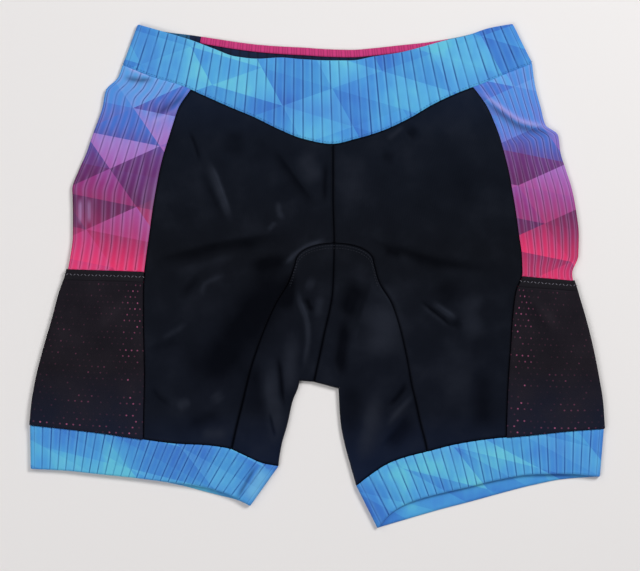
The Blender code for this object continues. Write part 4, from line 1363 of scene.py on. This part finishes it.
@dataclass
class Wardrobe:
    """All finishes, made once."""

    def __post_init__(self) -> None:
        """Build every material."""
        self.black = ElastaneJersey().make()
        self.mesh = PerforatedMesh().make()
        sky = ((0.3, "#3A74C6"), (0.42, "#3F84CE"), (0.52, "#4696D4"), (0.6, "#4FA4D6"),
               (0.68, "#5CB8D4"))
        sky_deep = ((0.3, "#2E5CB4"), (0.45, "#3470C2"), (0.6, "#3E88CC"), (0.7, "#469AD0"))
        sky_pale = ((0.3, "#4A8ED2"), (0.45, "#52A2D8"), (0.6, "#60B8DA"), (0.7, "#6CC4D6"))
        # the two colours after each print's ramps are the painted shade in its rib grooves and its
        # painted highlight
        self.sky = RibbedPrint(
            "ribbed_print_sky", Shading.PLAIN, sky, sky_deep, sky_pale, "#4A6FA0", "#86C8E8",
            groove_share=0.9, shoulder_highlight_share=0.12,
        ).make()
        self.blue = RibbedPrint(
            "ribbed_print_blue", Shading.PLAIN, sky, sky_deep, sky_pale, "#5A86B4", "#86D0E8",
            groove_share=0.9, shoulder_highlight_share=0.14, cell_mm=(60.0, 30.0), lean=(0.8, 0.25),
            streak_per_m=(150.0, 24.0, 60.0),
        ).make()
        self.violet = RibbedPrint(
            "ribbed_print_violet", Shading.DOWN,
            ((0.0, "#E23068"), (0.08, "#DA2E64"), (0.16, "#BE2A60"), (0.23, "#A02A5E"),
             (0.3, "#8E2C60"), (0.42, "#8A3078"), (0.5, "#8E4694"), (0.58, "#8C5AAC"),
             (0.66, "#726ABE"), (0.72, "#5878CC"), (0.8, "#4A82D2"), (1.0, "#4A92D8")),
            ((0.0, "#C82C60"), (0.1, "#B02858"), (0.2, "#842254"), (0.3, "#642050"),
             (0.4, "#561D52"), (0.5, "#5A2464"), (0.6, "#5C3074"), (0.69, "#4C4A9C"),
             (0.78, "#3E68C2"), (1.0, "#3F78CE")),
            ((0.0, "#E83A70"), (0.1, "#DE366E"), (0.2, "#C43470"), (0.3, "#A83A78"),
             (0.4, "#A24A90"), (0.5, "#A062B0"), (0.6, "#9C78C4"), (0.69, "#7C80D0"),
             (0.78, "#5C92DA"), (1.0, "#58A0DE")),
            "#6A5080", "#C0A4DC", groove_share=0.7, shoulder_highlight_share=0.18,
            cell_mm=(58.0, 44.0), lean=(0.7, -0.45), contrast=0.9, spread=0.07,
        ).make()
        # the groove colours of the navy band and the pink tape are painted shade in their rib grooves
        self.navy = PlainCloth(
            "ribbed_cloth_navy", "#0B1630", "#10203E", groove="#060C1A", groove_share=0.6,
            ends="#275C80",
        ).make()
        self.pink = PlainCloth(
            "ribbed_tape_pink", "#B8306C", "#CC3E80", groove="#7A1E46", groove_share=0.6
        ).make()
        self.binding = PlainCloth("stretch_binding_black", "#100E14", "#19171D", 0.7, 0.1).make()
        self.black_thread = PlainCloth("polyester_thread_black", "#07080B", "#0C0D12", 0.6, 0.08
                                       ).make()
        self.dull_thread = PlainCloth("polyester_thread_dull", "#24262E", "#34363E", 0.6, 0.1
                                      ).make()
        self.blue_thread = PlainCloth("polyester_thread_blue", "#1E4C80", "#2E6CA4", 0.6).make()
        self.grey_thread = PlainCloth("polyester_thread_grey", "#5E5C64", "#787680", 0.6).make()


def attach(piece: bpy.types.Object, node: str | None = None) -> bpy.types.Object:
    """Ride the piece on the body, hide the solid that it stands for, and log its face count.

    Args:
        piece: the finished piece.
        node: the solid that it replaces, or None for sewing.

    Returns:
        The piece.
    """
    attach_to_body(piece, "root")
    if node is not None:
        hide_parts(node)
    log.info("%s: %d faces", piece.name, len(piece.data.polygons))
    return piece


def declare(piece: bpy.types.Object, cloth: Cloth,
            cut: tuple[float, float] | None = None) -> None:
    """State the cut of a panel.

    Args:
        piece: the finished panel.
        cloth: the wall that it was built from.
        cut: width and length of the cut in metres where its rows run aslant.
    """
    flat, area = cloth.flat_size()
    flat = cut or flat
    log.info("%s: cut %.0f x %.0f mm, %.0f square cm", piece.name, flat[0] / MM, flat[1] / MM,
             area * 1e4)


def rename(piece: bpy.types.Object, name: str) -> bpy.types.Object:
    """Give a piece its own name, apart from the CAD node's."""
    piece.name = name
    piece.data.name = name
    return piece


def beside(cloth: Cloth, side: str, offset: float) -> Array:
    """A line on the outer face that keeps its distance from an edge.

    Args:
        cloth: the panel.
        side: one of its edges: top, bottom, start or end.
        offset: distance from that edge in millimetres.

    Returns:
        Points of the line, shape (n, 3).
    """
    outer, gaps = cloth.outer(), edge_distances(cloth.grid)[side]
    if side in ("top", "bottom"):
        outer, gaps = outer.transpose(1, 0, 2), gaps.T
    if side in ("bottom", "end"):
        outer, gaps = outer[:, ::-1], gaps[:, ::-1]
    return np.array([
        [np.interp(offset, away, points[:, axis]) for axis in range(3)]
        for away, points in zip(gaps, outer)
    ])


@dataclass(frozen=True)
class Stitch:
    """Sizes of a row of stitches in millimetres, and how each one leans to alternate sides."""

    spacing: float
    length: float
    radius: float
    slant_deg: float = 0.0


SEAM_STITCH = Stitch(2.6, 1.9, 0.2)
ARC_STITCH = Stitch(2.4, 1.3, 0.26)
BINDING_STITCH = Stitch(3.1, 2.6, 0.3, 38.0)


@dataclass
class Stitching:
    """Sewing thread on the seams, laid stitch by stitch along its lines with Geometry Nodes."""

    seed: int = 11

    def __post_init__(self) -> None:
        """Build the tree once."""
        self.tree = self._tree()

    def _tree(self) -> bpy.types.NodeTree:
        """The tree: a line becomes evenly spaced stitches that follow it."""
        tree = bpy.data.node_groups.new("row_of_stitches", "GeometryNodeTree")
        face = tree.interface
        face.new_socket("Line", in_out="INPUT", socket_type="NodeSocketGeometry")
        for name in ("Spacing", "Length", "Radius", "Slant"):
            face.new_socket(name, in_out="INPUT", socket_type="NodeSocketFloat")
        face.new_socket("Thread", in_out="INPUT", socket_type="NodeSocketMaterial")
        face.new_socket("Stitches", in_out="OUTPUT", socket_type="NodeSocketGeometry")
        add = partial(add_node, tree)
        given = add("NodeGroupInput").node.outputs
        curve = add("GeometryNodeMeshToCurve", {0: given["Line"]})
        points = add("GeometryNodeResampleCurve", {"Curve": curve, "Length": given["Spacing"]},
                     mode="LENGTH")
        ball = add("GeometryNodeMeshUVSphere", {"Segments": 6, "Rings": 4, "Radius": 1.0})
        half = add(MATH, {0: given["Length"], 1: 0.5}, operation="MULTIPLY")
        size = add("ShaderNodeCombineXYZ", {0: half, 1: given["Radius"], 2: given["Radius"]})
        stitch = add("GeometryNodeTransform", {"Geometry": ball, "Scale": size})
        aligned = add("FunctionNodeAlignRotationToVector",
                      {"Vector": add("GeometryNodeInputTangent")}, axis="X", pivot_axis="Z")
        odd = add(MATH, {0: add("GeometryNodeInputIndex"), 1: 2.0}, operation="MODULO")
        side = add(MATH, {0: odd, 1: 2.0, 2: -1.0}, operation="MULTIPLY_ADD")
        jitter = add("FunctionNodeRandomValue", {2: -0.12, 3: 0.12, "Seed": self.seed}, 1,
                     data_type="FLOAT")
        angle = add(MATH, {0: side, 1: given["Slant"], 2: jitter}, operation="MULTIPLY_ADD")
        lean = add("FunctionNodeEulerToRotation", {0: add("ShaderNodeCombineXYZ", {2: angle})})
        turned = add("FunctionNodeRotateRotation", {"Rotation": aligned, "Rotate By": lean},
                     rotation_space="LOCAL")
        placed = add("GeometryNodeInstanceOnPoints",
                     {"Points": points, "Instance": stitch, "Rotation": turned})
        real = add("GeometryNodeRealizeInstances", {0: placed})
        dressed = add("GeometryNodeSetMaterial", {"Geometry": real, "Material": given["Thread"]})
        add("NodeGroupOutput", {0: dressed})
        return tree

    def sew(
        self, name: str, lines: Sequence[Array], stitch: Stitch, thread: bpy.types.Material,
        slot: str,
    ) -> bpy.types.Object:
        """Sew lines as one piece.

        Args:
            name: the piece's name.
            lines: points of each line in millimetres, shape (n, 3).
            stitch: sizes of the stitches.
            thread: the thread's material.
            slot: not used.

        Returns:
            The piece.
        """
        points, edges = [], []
        for path in lines:
            first = len(points)
            points += (path * MM).tolist()
            edges += [(k, k + 1) for k in range(first, len(points) - 1)]
        mesh = bpy.data.meshes.new(f"{name}_line")
        mesh.from_pydata(points, edges, [])
        guide = bpy.data.objects.new(f"{name}_line", mesh)
        bpy.context.collection.objects.link(guide)
        modifier = guide.modifiers.new("stitches", "NODES")
        modifier.node_group = self.tree
        sizes = {
            "Spacing": stitch.spacing * MM, "Length": stitch.length * MM,
            "Radius": stitch.radius * MM, "Slant": math.radians(stitch.slant_deg),
            "Thread": thread,
        }
        for item in self.tree.interface.items_tree:
            if item.in_out == "INPUT" and item.name in sizes:
                modifier[item.identifier] = sizes[item.name]
        graph = bpy.context.evaluated_depsgraph_get()
        sewn = bpy.data.meshes.new_from_object(guide.evaluated_get(graph))
        guide.modifiers.remove(modifier)
        bpy.data.objects.remove(guide)
        sewn.name = name
        sewn.polygons.foreach_set("use_smooth", np.ones(len(sewn.polygons), bool))
        piece = bpy.data.objects.new(name, sewn)
        bpy.context.collection.objects.link(piece)
        return attach(piece)


def upper_part(path: Array, low: float = 2.4) -> Array:
    """The longest run of a line that lies on the upper layer."""
    high = path[:, 2] > low
    runs, start = [], None
    for k, up in enumerate([*high, False]):
        if up and start is None:
            start = k
        elif not up and start is not None:
            runs.append((start, k))
            start = None
    first, last = max(runs, key=lambda run: run[1] - run[0])
    return path[first:last]


@dataclass
class Waistband:
    """Front band with its turned ends, back band between them, and the tape on its inside."""

    wardrobe: Wardrobe
    sewing: Stitching
    rows: int = 34
    back_ribs: int = 39

    def build(self) -> None:
        """Make the three pieces."""
        edges = {
            True: (WAIST_EDGES["front_lip"], WAIST_EDGES["front_seam"]),
            False: (WAIST_EDGES["back_lip"], WAIST_EDGES["back_seam"]),
        }
        self._front(edges)
        self._back(edges)

    def _front(self, edges: dict[bool, tuple[Across, Across]]) -> None:
        """The printed front band."""
        count = round((LIP_ENDS[1] - LIP_ENDS[0]) / RIB_PITCH)
        inner = RIBS.shares(count)[1:-1]
        shares = mix(WAIST_BEND, 1 - WAIST_BEND, inner)
        up, under = Stations.bend(0, True), Stations.bend(1, False)
        turn = np.linspace(BAND_TURN, WAIST_BEND + 0.004, 7)
        stations = Stations.join(
            Stations.flat(turn, False), up, Stations.flat(shares, True), under,
            Stations.flat(1 - turn[::-1], False),
        )
        grid = inset(band_grid(edges, steps(self.rows), stations), ("bottom", "start", "end"))
        distance = np.full(len(stations.share), RIB_PITCH / 2)
        first = len(turn) + len(up.share)
        distance[first:first + len(inner)] = RIBS.phase(inner, count)
        gaps = edge_distances(grid)
        rise = RIBS.rise(distance)[None] * ease(gaps["top"] / 2.5) + seam_roll(gaps["bottom"])
        groove = np.tile(RIBS.mark(distance), (len(grid), 1))
        cloth = Cloth("waistband_front", grid, (grid.shape[1] // 2, 1.0), rise=rise, groove=groove)
        piece = rename(cloth.build(self.wardrobe.sky), "front_waistband")
        attach(piece, cloth.name)
        declare(piece, cloth)
        line = upper_part(beside(cloth, "bottom", 1.5))
        self.sewing.sew("waist_seam_stitches", [line], SEAM_STITCH, self.wardrobe.blue_thread,
                        "ribbed_sky")

    def _back(self, edges: dict[bool, tuple[Across, Across]]) -> None:
        """The back band, seen from its inside, and the tape along its top edge."""
        inner = RIBS.shares(self.back_ribs)
        shares = mix(BAND_TURN, 1 - BAND_TURN, inner)
        rows = np.concatenate([steps(4)[:-1] * TAPE_HEIGHT / BACK_BAND_HEIGHT,
                               mix(TAPE_HEIGHT / BACK_BAND_HEIGHT, 1.0, steps(16))])
        grid = band_grid(edges, rows, Stations.flat(shares, False))
        grid = inset(grid, ("bottom", "start", "end"))
        distance = RIBS.phase(inner, self.back_ribs)
        groove = np.tile(RIBS.mark(distance), (len(grid), 1))
        cloth = Cloth("waistband_back", grid, (len(shares) // 2, 1.0),
                      rise=0.35 * np.tile(RIBS.rise(distance), (len(grid), 1)), groove=groove)
        band = rename(cloth.build(self.wardrobe.navy), "back_waistband")
        attach(band, cloth.name)

        kept = (shares >= TAPE_SPAN[0]) & (shares <= TAPE_SPAN[1])
        tape = grid[:5, kept].copy()
        tape[:, :, 2] += WALL / 2 + SEAM_GAP + TAPE_WALL / 2
        small = (distance[kept] * 2) % (RIB_PITCH / 2)
        tape_cloth = Cloth("waist_tape", tape, (5, 1.0), wall=TAPE_WALL,
                           rise=0.3 * np.tile(RIBS.rise(small), (5, 1)),
                           groove=np.tile(RIBS.mark(small), (5, 1)))
        piece = rename(tape_cloth.build(self.wardrobe.pink), "inner_waist_tape")
        attach(piece, tape_cloth.name)
        declare(band, cloth)


def pocket_shares(hand: str) -> tuple[float, float]:
    """Shares of the side seam's length at the pocket's top edge and under its binding."""
    seam = side_seam(hand, "front")
    top = crossing(seam, WAIST_EDGES["front_seam"], WAIST_SEARCH)
    bottom = crossing(seam, HEM_SEAMS[hand], HEM_SEARCH)
    pocket = POCKET_TOP[hand][0]
    return (top - pocket) / (top - bottom), (top - pocket + BINDING_HEIGHT) / (top - bottom)


def arc_edge(hand: str, layer: str) -> Edge:
    """Quarter ellipse from the centre seam out to the leg seam."""
    arc = FRONT_ARC if layer == "front" else BACK_ARC
    centre = float(CENTRE_SEAM(arc.top))
    reach = float(leg_seam(hand, layer)(arc.side)) - centre

    def edge(s: Array) -> Array:
        angle = math.pi / 2 * np.asarray(s, float)
        height = arc.side + (arc.top - arc.side) * np.cos(angle)
        return np.stack([centre + reach * np.sin(angle), height], axis=-1)

    return edge


@dataclass
class LegPanels:
    """The black panels of one leg: front, back, and the inner-leg panel between them."""

    wardrobe: Wardrobe
    sewing: Stitching
    hand: str
    rows: int = 200
    columns: int = 104

    def build(self) -> None:
        """Make the three pieces."""
        self._flat("front", self.rows, self.columns)
        self._flat("back", self.rows // 2, self.columns // 2)
        self._inner()

    def _patch(self, layer: str) -> Patch:
        """A front or back panel."""
        hand = self.hand
        seam, leg = side_seam(hand, layer), leg_seam(hand, layer)
        waist, hem = WAIST_EDGES[f"{layer}_seam"], HEM_SEAMS[hand]
        arc = FRONT_ARC if layer == "front" else BACK_ARC
        top, bottom = crossing(seam, waist, WAIST_SEARCH), crossing(seam, hem, HEM_SEARCH)
        centre_x = float(CENTRE_SEAM(CENTRE[0][0]))
        leg_bottom = crossing(leg, hem, HEM_SEARCH)
        inner = chain(
            (0.0, down(CENTRE_SEAM, float(waist.height(centre_x)), arc.top)),
            (PANEL_ARC_SPAN[0], arc_edge(hand, layer)),
            (PANEL_ARC_SPAN[1], down(leg, arc.side, leg_bottom)),
        )
        return Patch(
            down(seam, top, bottom), inner,
            waist.between(float(seam(top)), centre_x),
            hem.between(float(seam(bottom)), float(leg(leg_bottom))),
        )

    def _flat(self, layer: str, rows: int, columns: int) -> None:
        """A panel that lies on one layer."""
        front = layer == "front"
        points = self._patch(layer).points(steps(columns)[None], steps(rows))
        grid = on_level(points, upper_level if front else lower_level)
        grid = inset(grid, ("top", "bottom", "start", "end"))
        gaps = edge_distances(grid)
        rise = sum(seam_roll(gaps[side]) for side in gaps) if front else None
        cloth = Cloth(f"{layer}_panel_{self.hand}", grid, (columns // 2, 1.0 if front else -1.0),
                      rise=rise, groove=seam_mark(gaps) if front else None, light_painted=front)
        piece = rename(cloth.build(self.wardrobe.black), f"{self.hand}_{layer}_panel")
        attach(piece, cloth.name)
        declare(piece, cloth)
        if front:
            lines = [beside(cloth, "start", 1.5), beside(cloth, "bottom", 1.5),
                     beside(cloth, "end", 1.3)]
            self.sewing.sew(f"{self.hand}_panel_stitches", lines, SEAM_STITCH,
                            self.wardrobe.black_thread, "lycra_black")

    def _inner(self) -> None:
        """The inner-leg panel, round the inner fold to the back."""
        hand = self.hand
        halves = []
        for layer in ("front", "back"):
            arc = FRONT_ARC if layer == "front" else BACK_ARC
            leg, hem = leg_seam(hand, layer), HEM_SEAMS[hand]
            leg_bottom = crossing(leg, hem, HEM_SEARCH)
            corner = CROTCH[hand]
            hem_end = float(hem.at(1.0)[1])
            halves.append(Patch(
                chain((0.0, arc_edge(hand, layer)), (INNER_ARC_SPAN, down(leg, arc.side, leg_bottom))),
                chain(
                    (0.0, line(CROTCH["centre"], corner)),
                    (INNER_ARC_SPAN, down(INNER_FOLDS[hand], corner[1], hem_end)),
                ),
                down(CENTRE_SEAM, arc.top, CROTCH["centre"][1]),
                hem.between(float(leg(leg_bottom)), HEM_SEAM_ENDS[hand][1]),
            ))
        grid = wrap_grid(halves[0], halves[1], steps(120), lower_level, (steps(60), steps(14)))
        grid = inset(grid, ("top", "bottom", "start", "end"))
        gaps = edge_distances(grid)
        above = ease((grid[:, :, 2] - 2.4) / 1.2)
        rise = sum(seam_roll(gaps[side]) for side in gaps) * above
        cloth = Cloth(f"inner_leg_{hand}", grid, (8, 1.0), rise=rise,
                      groove=seam_mark(gaps) * above, light_painted=True)
        piece = rename(cloth.build(self.wardrobe.black), f"{hand}_inner_leg_panel")
        attach(piece, cloth.name)
        declare(piece, cloth, cut=INNER_LEG_CUT)
        arc = [beside(cloth, "start", offset)[: len(grid) // 3] for offset in (2.0, 4.4)]
        self.sewing.sew(f"{hand}_arc_stitches", arc, ARC_STITCH, self.wardrobe.dull_thread,
                        "lycra_black")


@dataclass
class SidePanel:
    """Printed side panel round the outer fold, with the mesh pocket on its lower part."""

    wardrobe: Wardrobe
    sewing: Stitching
    hand: str
    rows: int = 110

    def build(self) -> None:
        """Make the panel, the pocket and its binding."""
        front, back = self._patch("front"), self._patch("back")
        lower = carried_level(self.hand)
        top, under = pocket_shares(self.hand)
        inner = RIBS.shares(SIDE_RIBS)
        v = np.concatenate([mix(0.0, top, steps(self.rows))[:-1], mix(top, 1.0, steps(30))])
        grid = wrap_grid(front, back, v, lower, (inner, steps(12)))
        grid = inset(grid, ("top", "bottom", "start", "end"))
        distance = np.full(grid.shape[1], RIB_PITCH / 2)
        distance[:len(inner)] = RIBS.phase(inner, SIDE_RIBS)
        distance[0] = RIB_PITCH / 2
        gaps = edge_distances(grid)
        bare = ease((top - v) * 300)[:, None]
        above = ease((grid[:, :, 2] - 2.4) / 1.2)
        rolled = seam_roll(gaps["start"]) + seam_roll(gaps["top"])
        rise = (0.6 * RIBS.rise(distance)[None] + rolled) * bare * above
        cloth = Cloth(f"side_panel_{self.hand}", grid, (4, 1.0), rise=rise,
                      groove=RIBS.mark(distance)[None] * bare, light_painted=True)
        piece = rename(cloth.build(self.wardrobe.violet), f"{self.hand}_side_panel")
        attach(piece, cloth.name)
        declare(piece, cloth)
        self._pocket(front, back, lower, top, under)

    def _patch(self, layer: str) -> Patch:
        """Half of the side panel."""
        hand = self.hand
        seam, fold = side_seam(hand, layer), OUTER_FOLDS[hand]
        waist, hem = WAIST_EDGES[f"{layer}_seam"], HEM_SEAMS[hand]
        end = 0 if hand == "left" else 1
        top, bottom = crossing(seam, waist, WAIST_SEARCH), crossing(seam, hem, HEM_SEARCH)
        fold_pocket = POCKET_TOP[hand][1]
        heights = (float(waist.at(end)[1]), fold_pocket, fold_pocket - BINDING_HEIGHT,
                   float(hem.at(0.0)[1]))
        shares = (0.0, *pocket_shares(hand), 1.0)

        def fold_edge(s: Array) -> Array:
            height = np.interp(s, shares, heights)
            return np.stack([fold(height), height], axis=-1)

        return Patch(
            down(seam, top, bottom), fold_edge,
            waist.between(float(seam(top)), WAIST_SEAM_ENDS[end]),
            hem.between(float(seam(bottom)), HEM_SEAM_ENDS[hand][0]),
        )

    def _pocket(self, front: Patch, back: Patch, lower: Level, top: float, under: float) -> None:
        """The mesh bag and the binding along its top edge."""
        v = np.concatenate([mix(top, under, steps(8)), mix(under, 1.0, steps(76))[1:]])
        grid = wrap_grid(front, back, v, lower, (steps(44), steps(16)))
        grid = inset(grid, ("bottom", "start", "end"))
        grid = grid + outward_normals(grid, False, (1, 1.0)) * POCKET_LIFT
        above = ease((grid[:, :, 2] - 3.4) / 1.2)

        strip = inset(grid[:9], ("bottom",))
        gaps = edge_distances(strip)
        roll = 0.3 * np.exp(-(((gaps["top"] - 1.6) / 1.6) ** 2)) + seam_roll(gaps["bottom"]) * 0.7
        cloth = Cloth(f"pocket_binding_{self.hand}", strip, (4, 1.0), rise=roll * above[:9])
        binding = rename(cloth.build(self.wardrobe.binding), f"{self.hand}_pocket_binding")
        attach(binding, cloth.name)
        self.sewing.sew(
            f"{self.hand}_binding_stitches", [upper_part(beside(cloth, "top", 4.2), 3.6)],
            BINDING_STITCH, self.wardrobe.grey_thread, "binding_black",
        )

        bag = inset(grid[8:], ("top",))
        gaps = edge_distances(bag)
        rise = (seam_roll(gaps["start"]) + seam_roll(gaps["bottom"])) * above[8:]
        near = ease(gaps["start"] / 3.0) * ease((26.0 - gaps["start"]) / 16.0) * 0.75
        low = np.exp(-(((gaps["bottom"] - 3.5) / 2.6) ** 2))
        cloth = Cloth(f"pocket_{self.hand}", bag, (4, 1.0), rise=rise,
                      groove=np.maximum(near, low), light_painted=True)
        piece = rename(cloth.build(self.wardrobe.mesh), f"{self.hand}_pocket")
        attach(piece, cloth.name)
        declare(piece, cloth)


@dataclass
class HemBand:
    """Ribbed printed ring round one leg, its front edge a little shorter than its back edge."""

    wardrobe: Wardrobe
    sewing: Stitching
    hand: str
    rows: int = 20
    back_steps: int = 110

    def build(self) -> None:
        """Make the ring."""
        hand = self.hand
        edges = {
            layer == "front": (HEM_SEAMS[hand], HEM_EDGES[hand, layer])
            for layer in ("front", "back")
        }
        ends = HEM_SEAM_ENDS[hand]
        count = round(abs(ends[1] - ends[0]) / RIB_PITCH)
        inner = RIBS.shares(count)[1:-1]
        shares = mix(HEM_BEND, 1 - HEM_BEND, inner)
        up = Stations.bend(0, True)
        back = mix(1 - HEM_BEND, HEM_BEND, steps(self.back_steps)[1:-1])
        stations = Stations.join(
            up, Stations.flat(shares, True), Stations.bend(1, False), Stations.flat(back, False)
        )
        grid = band_grid(edges, steps(self.rows), stations)
        inward = unit(grid[1] - grid[0])
        grid[0] += inward * SEAM_GAP / 2
        distance = np.full(grid.shape[1], RIB_PITCH / 2)
        first = len(up.share)
        distance[first:first + len(inner)] = RIBS.phase(inner, count)
        gaps = edge_distances(grid)
        above = ease((grid[:, :, 2] - 2.4) / 1.2)
        rise = (RIBS.rise(distance)[None] * ease(gaps["bottom"] / 2.0) + seam_roll(gaps["top"])) * above
        cloth = Cloth(f"hem_band_{hand}", grid, (first + len(inner) // 2, 1.0), closed=True,
                      rise=rise, groove=np.tile(RIBS.mark(distance), (len(grid), 1)), light_painted=True)
        piece = rename(cloth.build(self.wardrobe.blue), f"{hand}_hem_band")
        attach(piece, cloth.name)
        declare(piece, cloth)


@dataclass
class Studio:
    """Camera straight above, a pale floor, three soft lamps and an even sky."""

    centre: Point = (2.64, -8.36)
    height_m: float = 2.0
    view_mm: float = 563.2
    sensor_mm: float = 36.0

    def build(self) -> None:
        """Make the camera, the floor and the lights."""
        scene = bpy.context.scene
        data = bpy.data.cameras.new("camera")
        data.sensor_width = self.sensor_mm
        data.lens = self.sensor_mm * self.height_m / (self.view_mm * MM)
        camera = bpy.data.objects.new("camera", data)
        camera.location = (self.centre[0] * MM, self.centre[1] * MM, self.height_m)
        scene.collection.objects.link(camera)
        scene.camera = camera
        self._floor()
        self._lights()
        scene.view_settings.view_transform = "Standard"

    def _floor(self) -> None:
        """A broad matt floor."""
        board = Surface("matt_board_pale")
        surface, tree = board.start()
        board.finish(tree, {"Base Color": "#E4E1E0", "Roughness": 0.9})
        size = 3.0
        mesh = bpy.data.meshes.new("floor")
        mesh.from_pydata(
            [(-size, -size, 0), (size, -size, 0), (size, size, 0), (-size, size, 0)], [],
            [(0, 1, 2, 3)],
        )
        mesh.materials.append(surface)
        floor = bpy.data.objects.new("floor", mesh)
        bpy.context.collection.objects.link(floor)

    def _lights(self) -> None:
        """A key lamp from the upper right, two broad weaker ones, and an even sky."""
        lamps = (
            ("key", (1.35, 1.2, 1.75), 0.9, 46.0),
            ("fill", (-1.2, -0.9, 2.0), 1.6, 22.0),
            ("side", (-1.3, 1.1, 1.6), 1.4, 9.0),
        )
        for name, place, size, power in lamps:
            data = bpy.data.lights.new(name, "AREA")
            data.shape = "DISK"
            data.size = size
            data.energy = power
            lamp = bpy.data.objects.new(name, data)
            lamp.location = place
            x, y, z = place
            lamp.rotation_euler = (math.atan2(math.hypot(x, y), z), 0, math.atan2(y, x) + math.pi / 2)
            bpy.context.scene.collection.objects.link(lamp)
        world = bpy.data.worlds.new("sky")
        world.use_nodes = True
        background = world.node_tree.nodes["Background"]
        background.inputs[0].default_value = to_linear("#F2F2F4")
        background.inputs[1].default_value = 0.2
        bpy.context.scene.world = world


def main() -> None:
    """Build the garment piece by piece, then the studio."""
    logging.basicConfig(level=logging.INFO, format="%(message)s")
    wardrobe, sewing = Wardrobe(), Stitching()
    Waistband(wardrobe, sewing).build()
    for hand in HANDS:
        LegPanels(wardrobe, sewing, hand).build()
        SidePanel(wardrobe, sewing, hand).build()
        HemBand(wardrobe, sewing, hand).build()
    Studio().build()


if __name__ == "__main__":
    main()
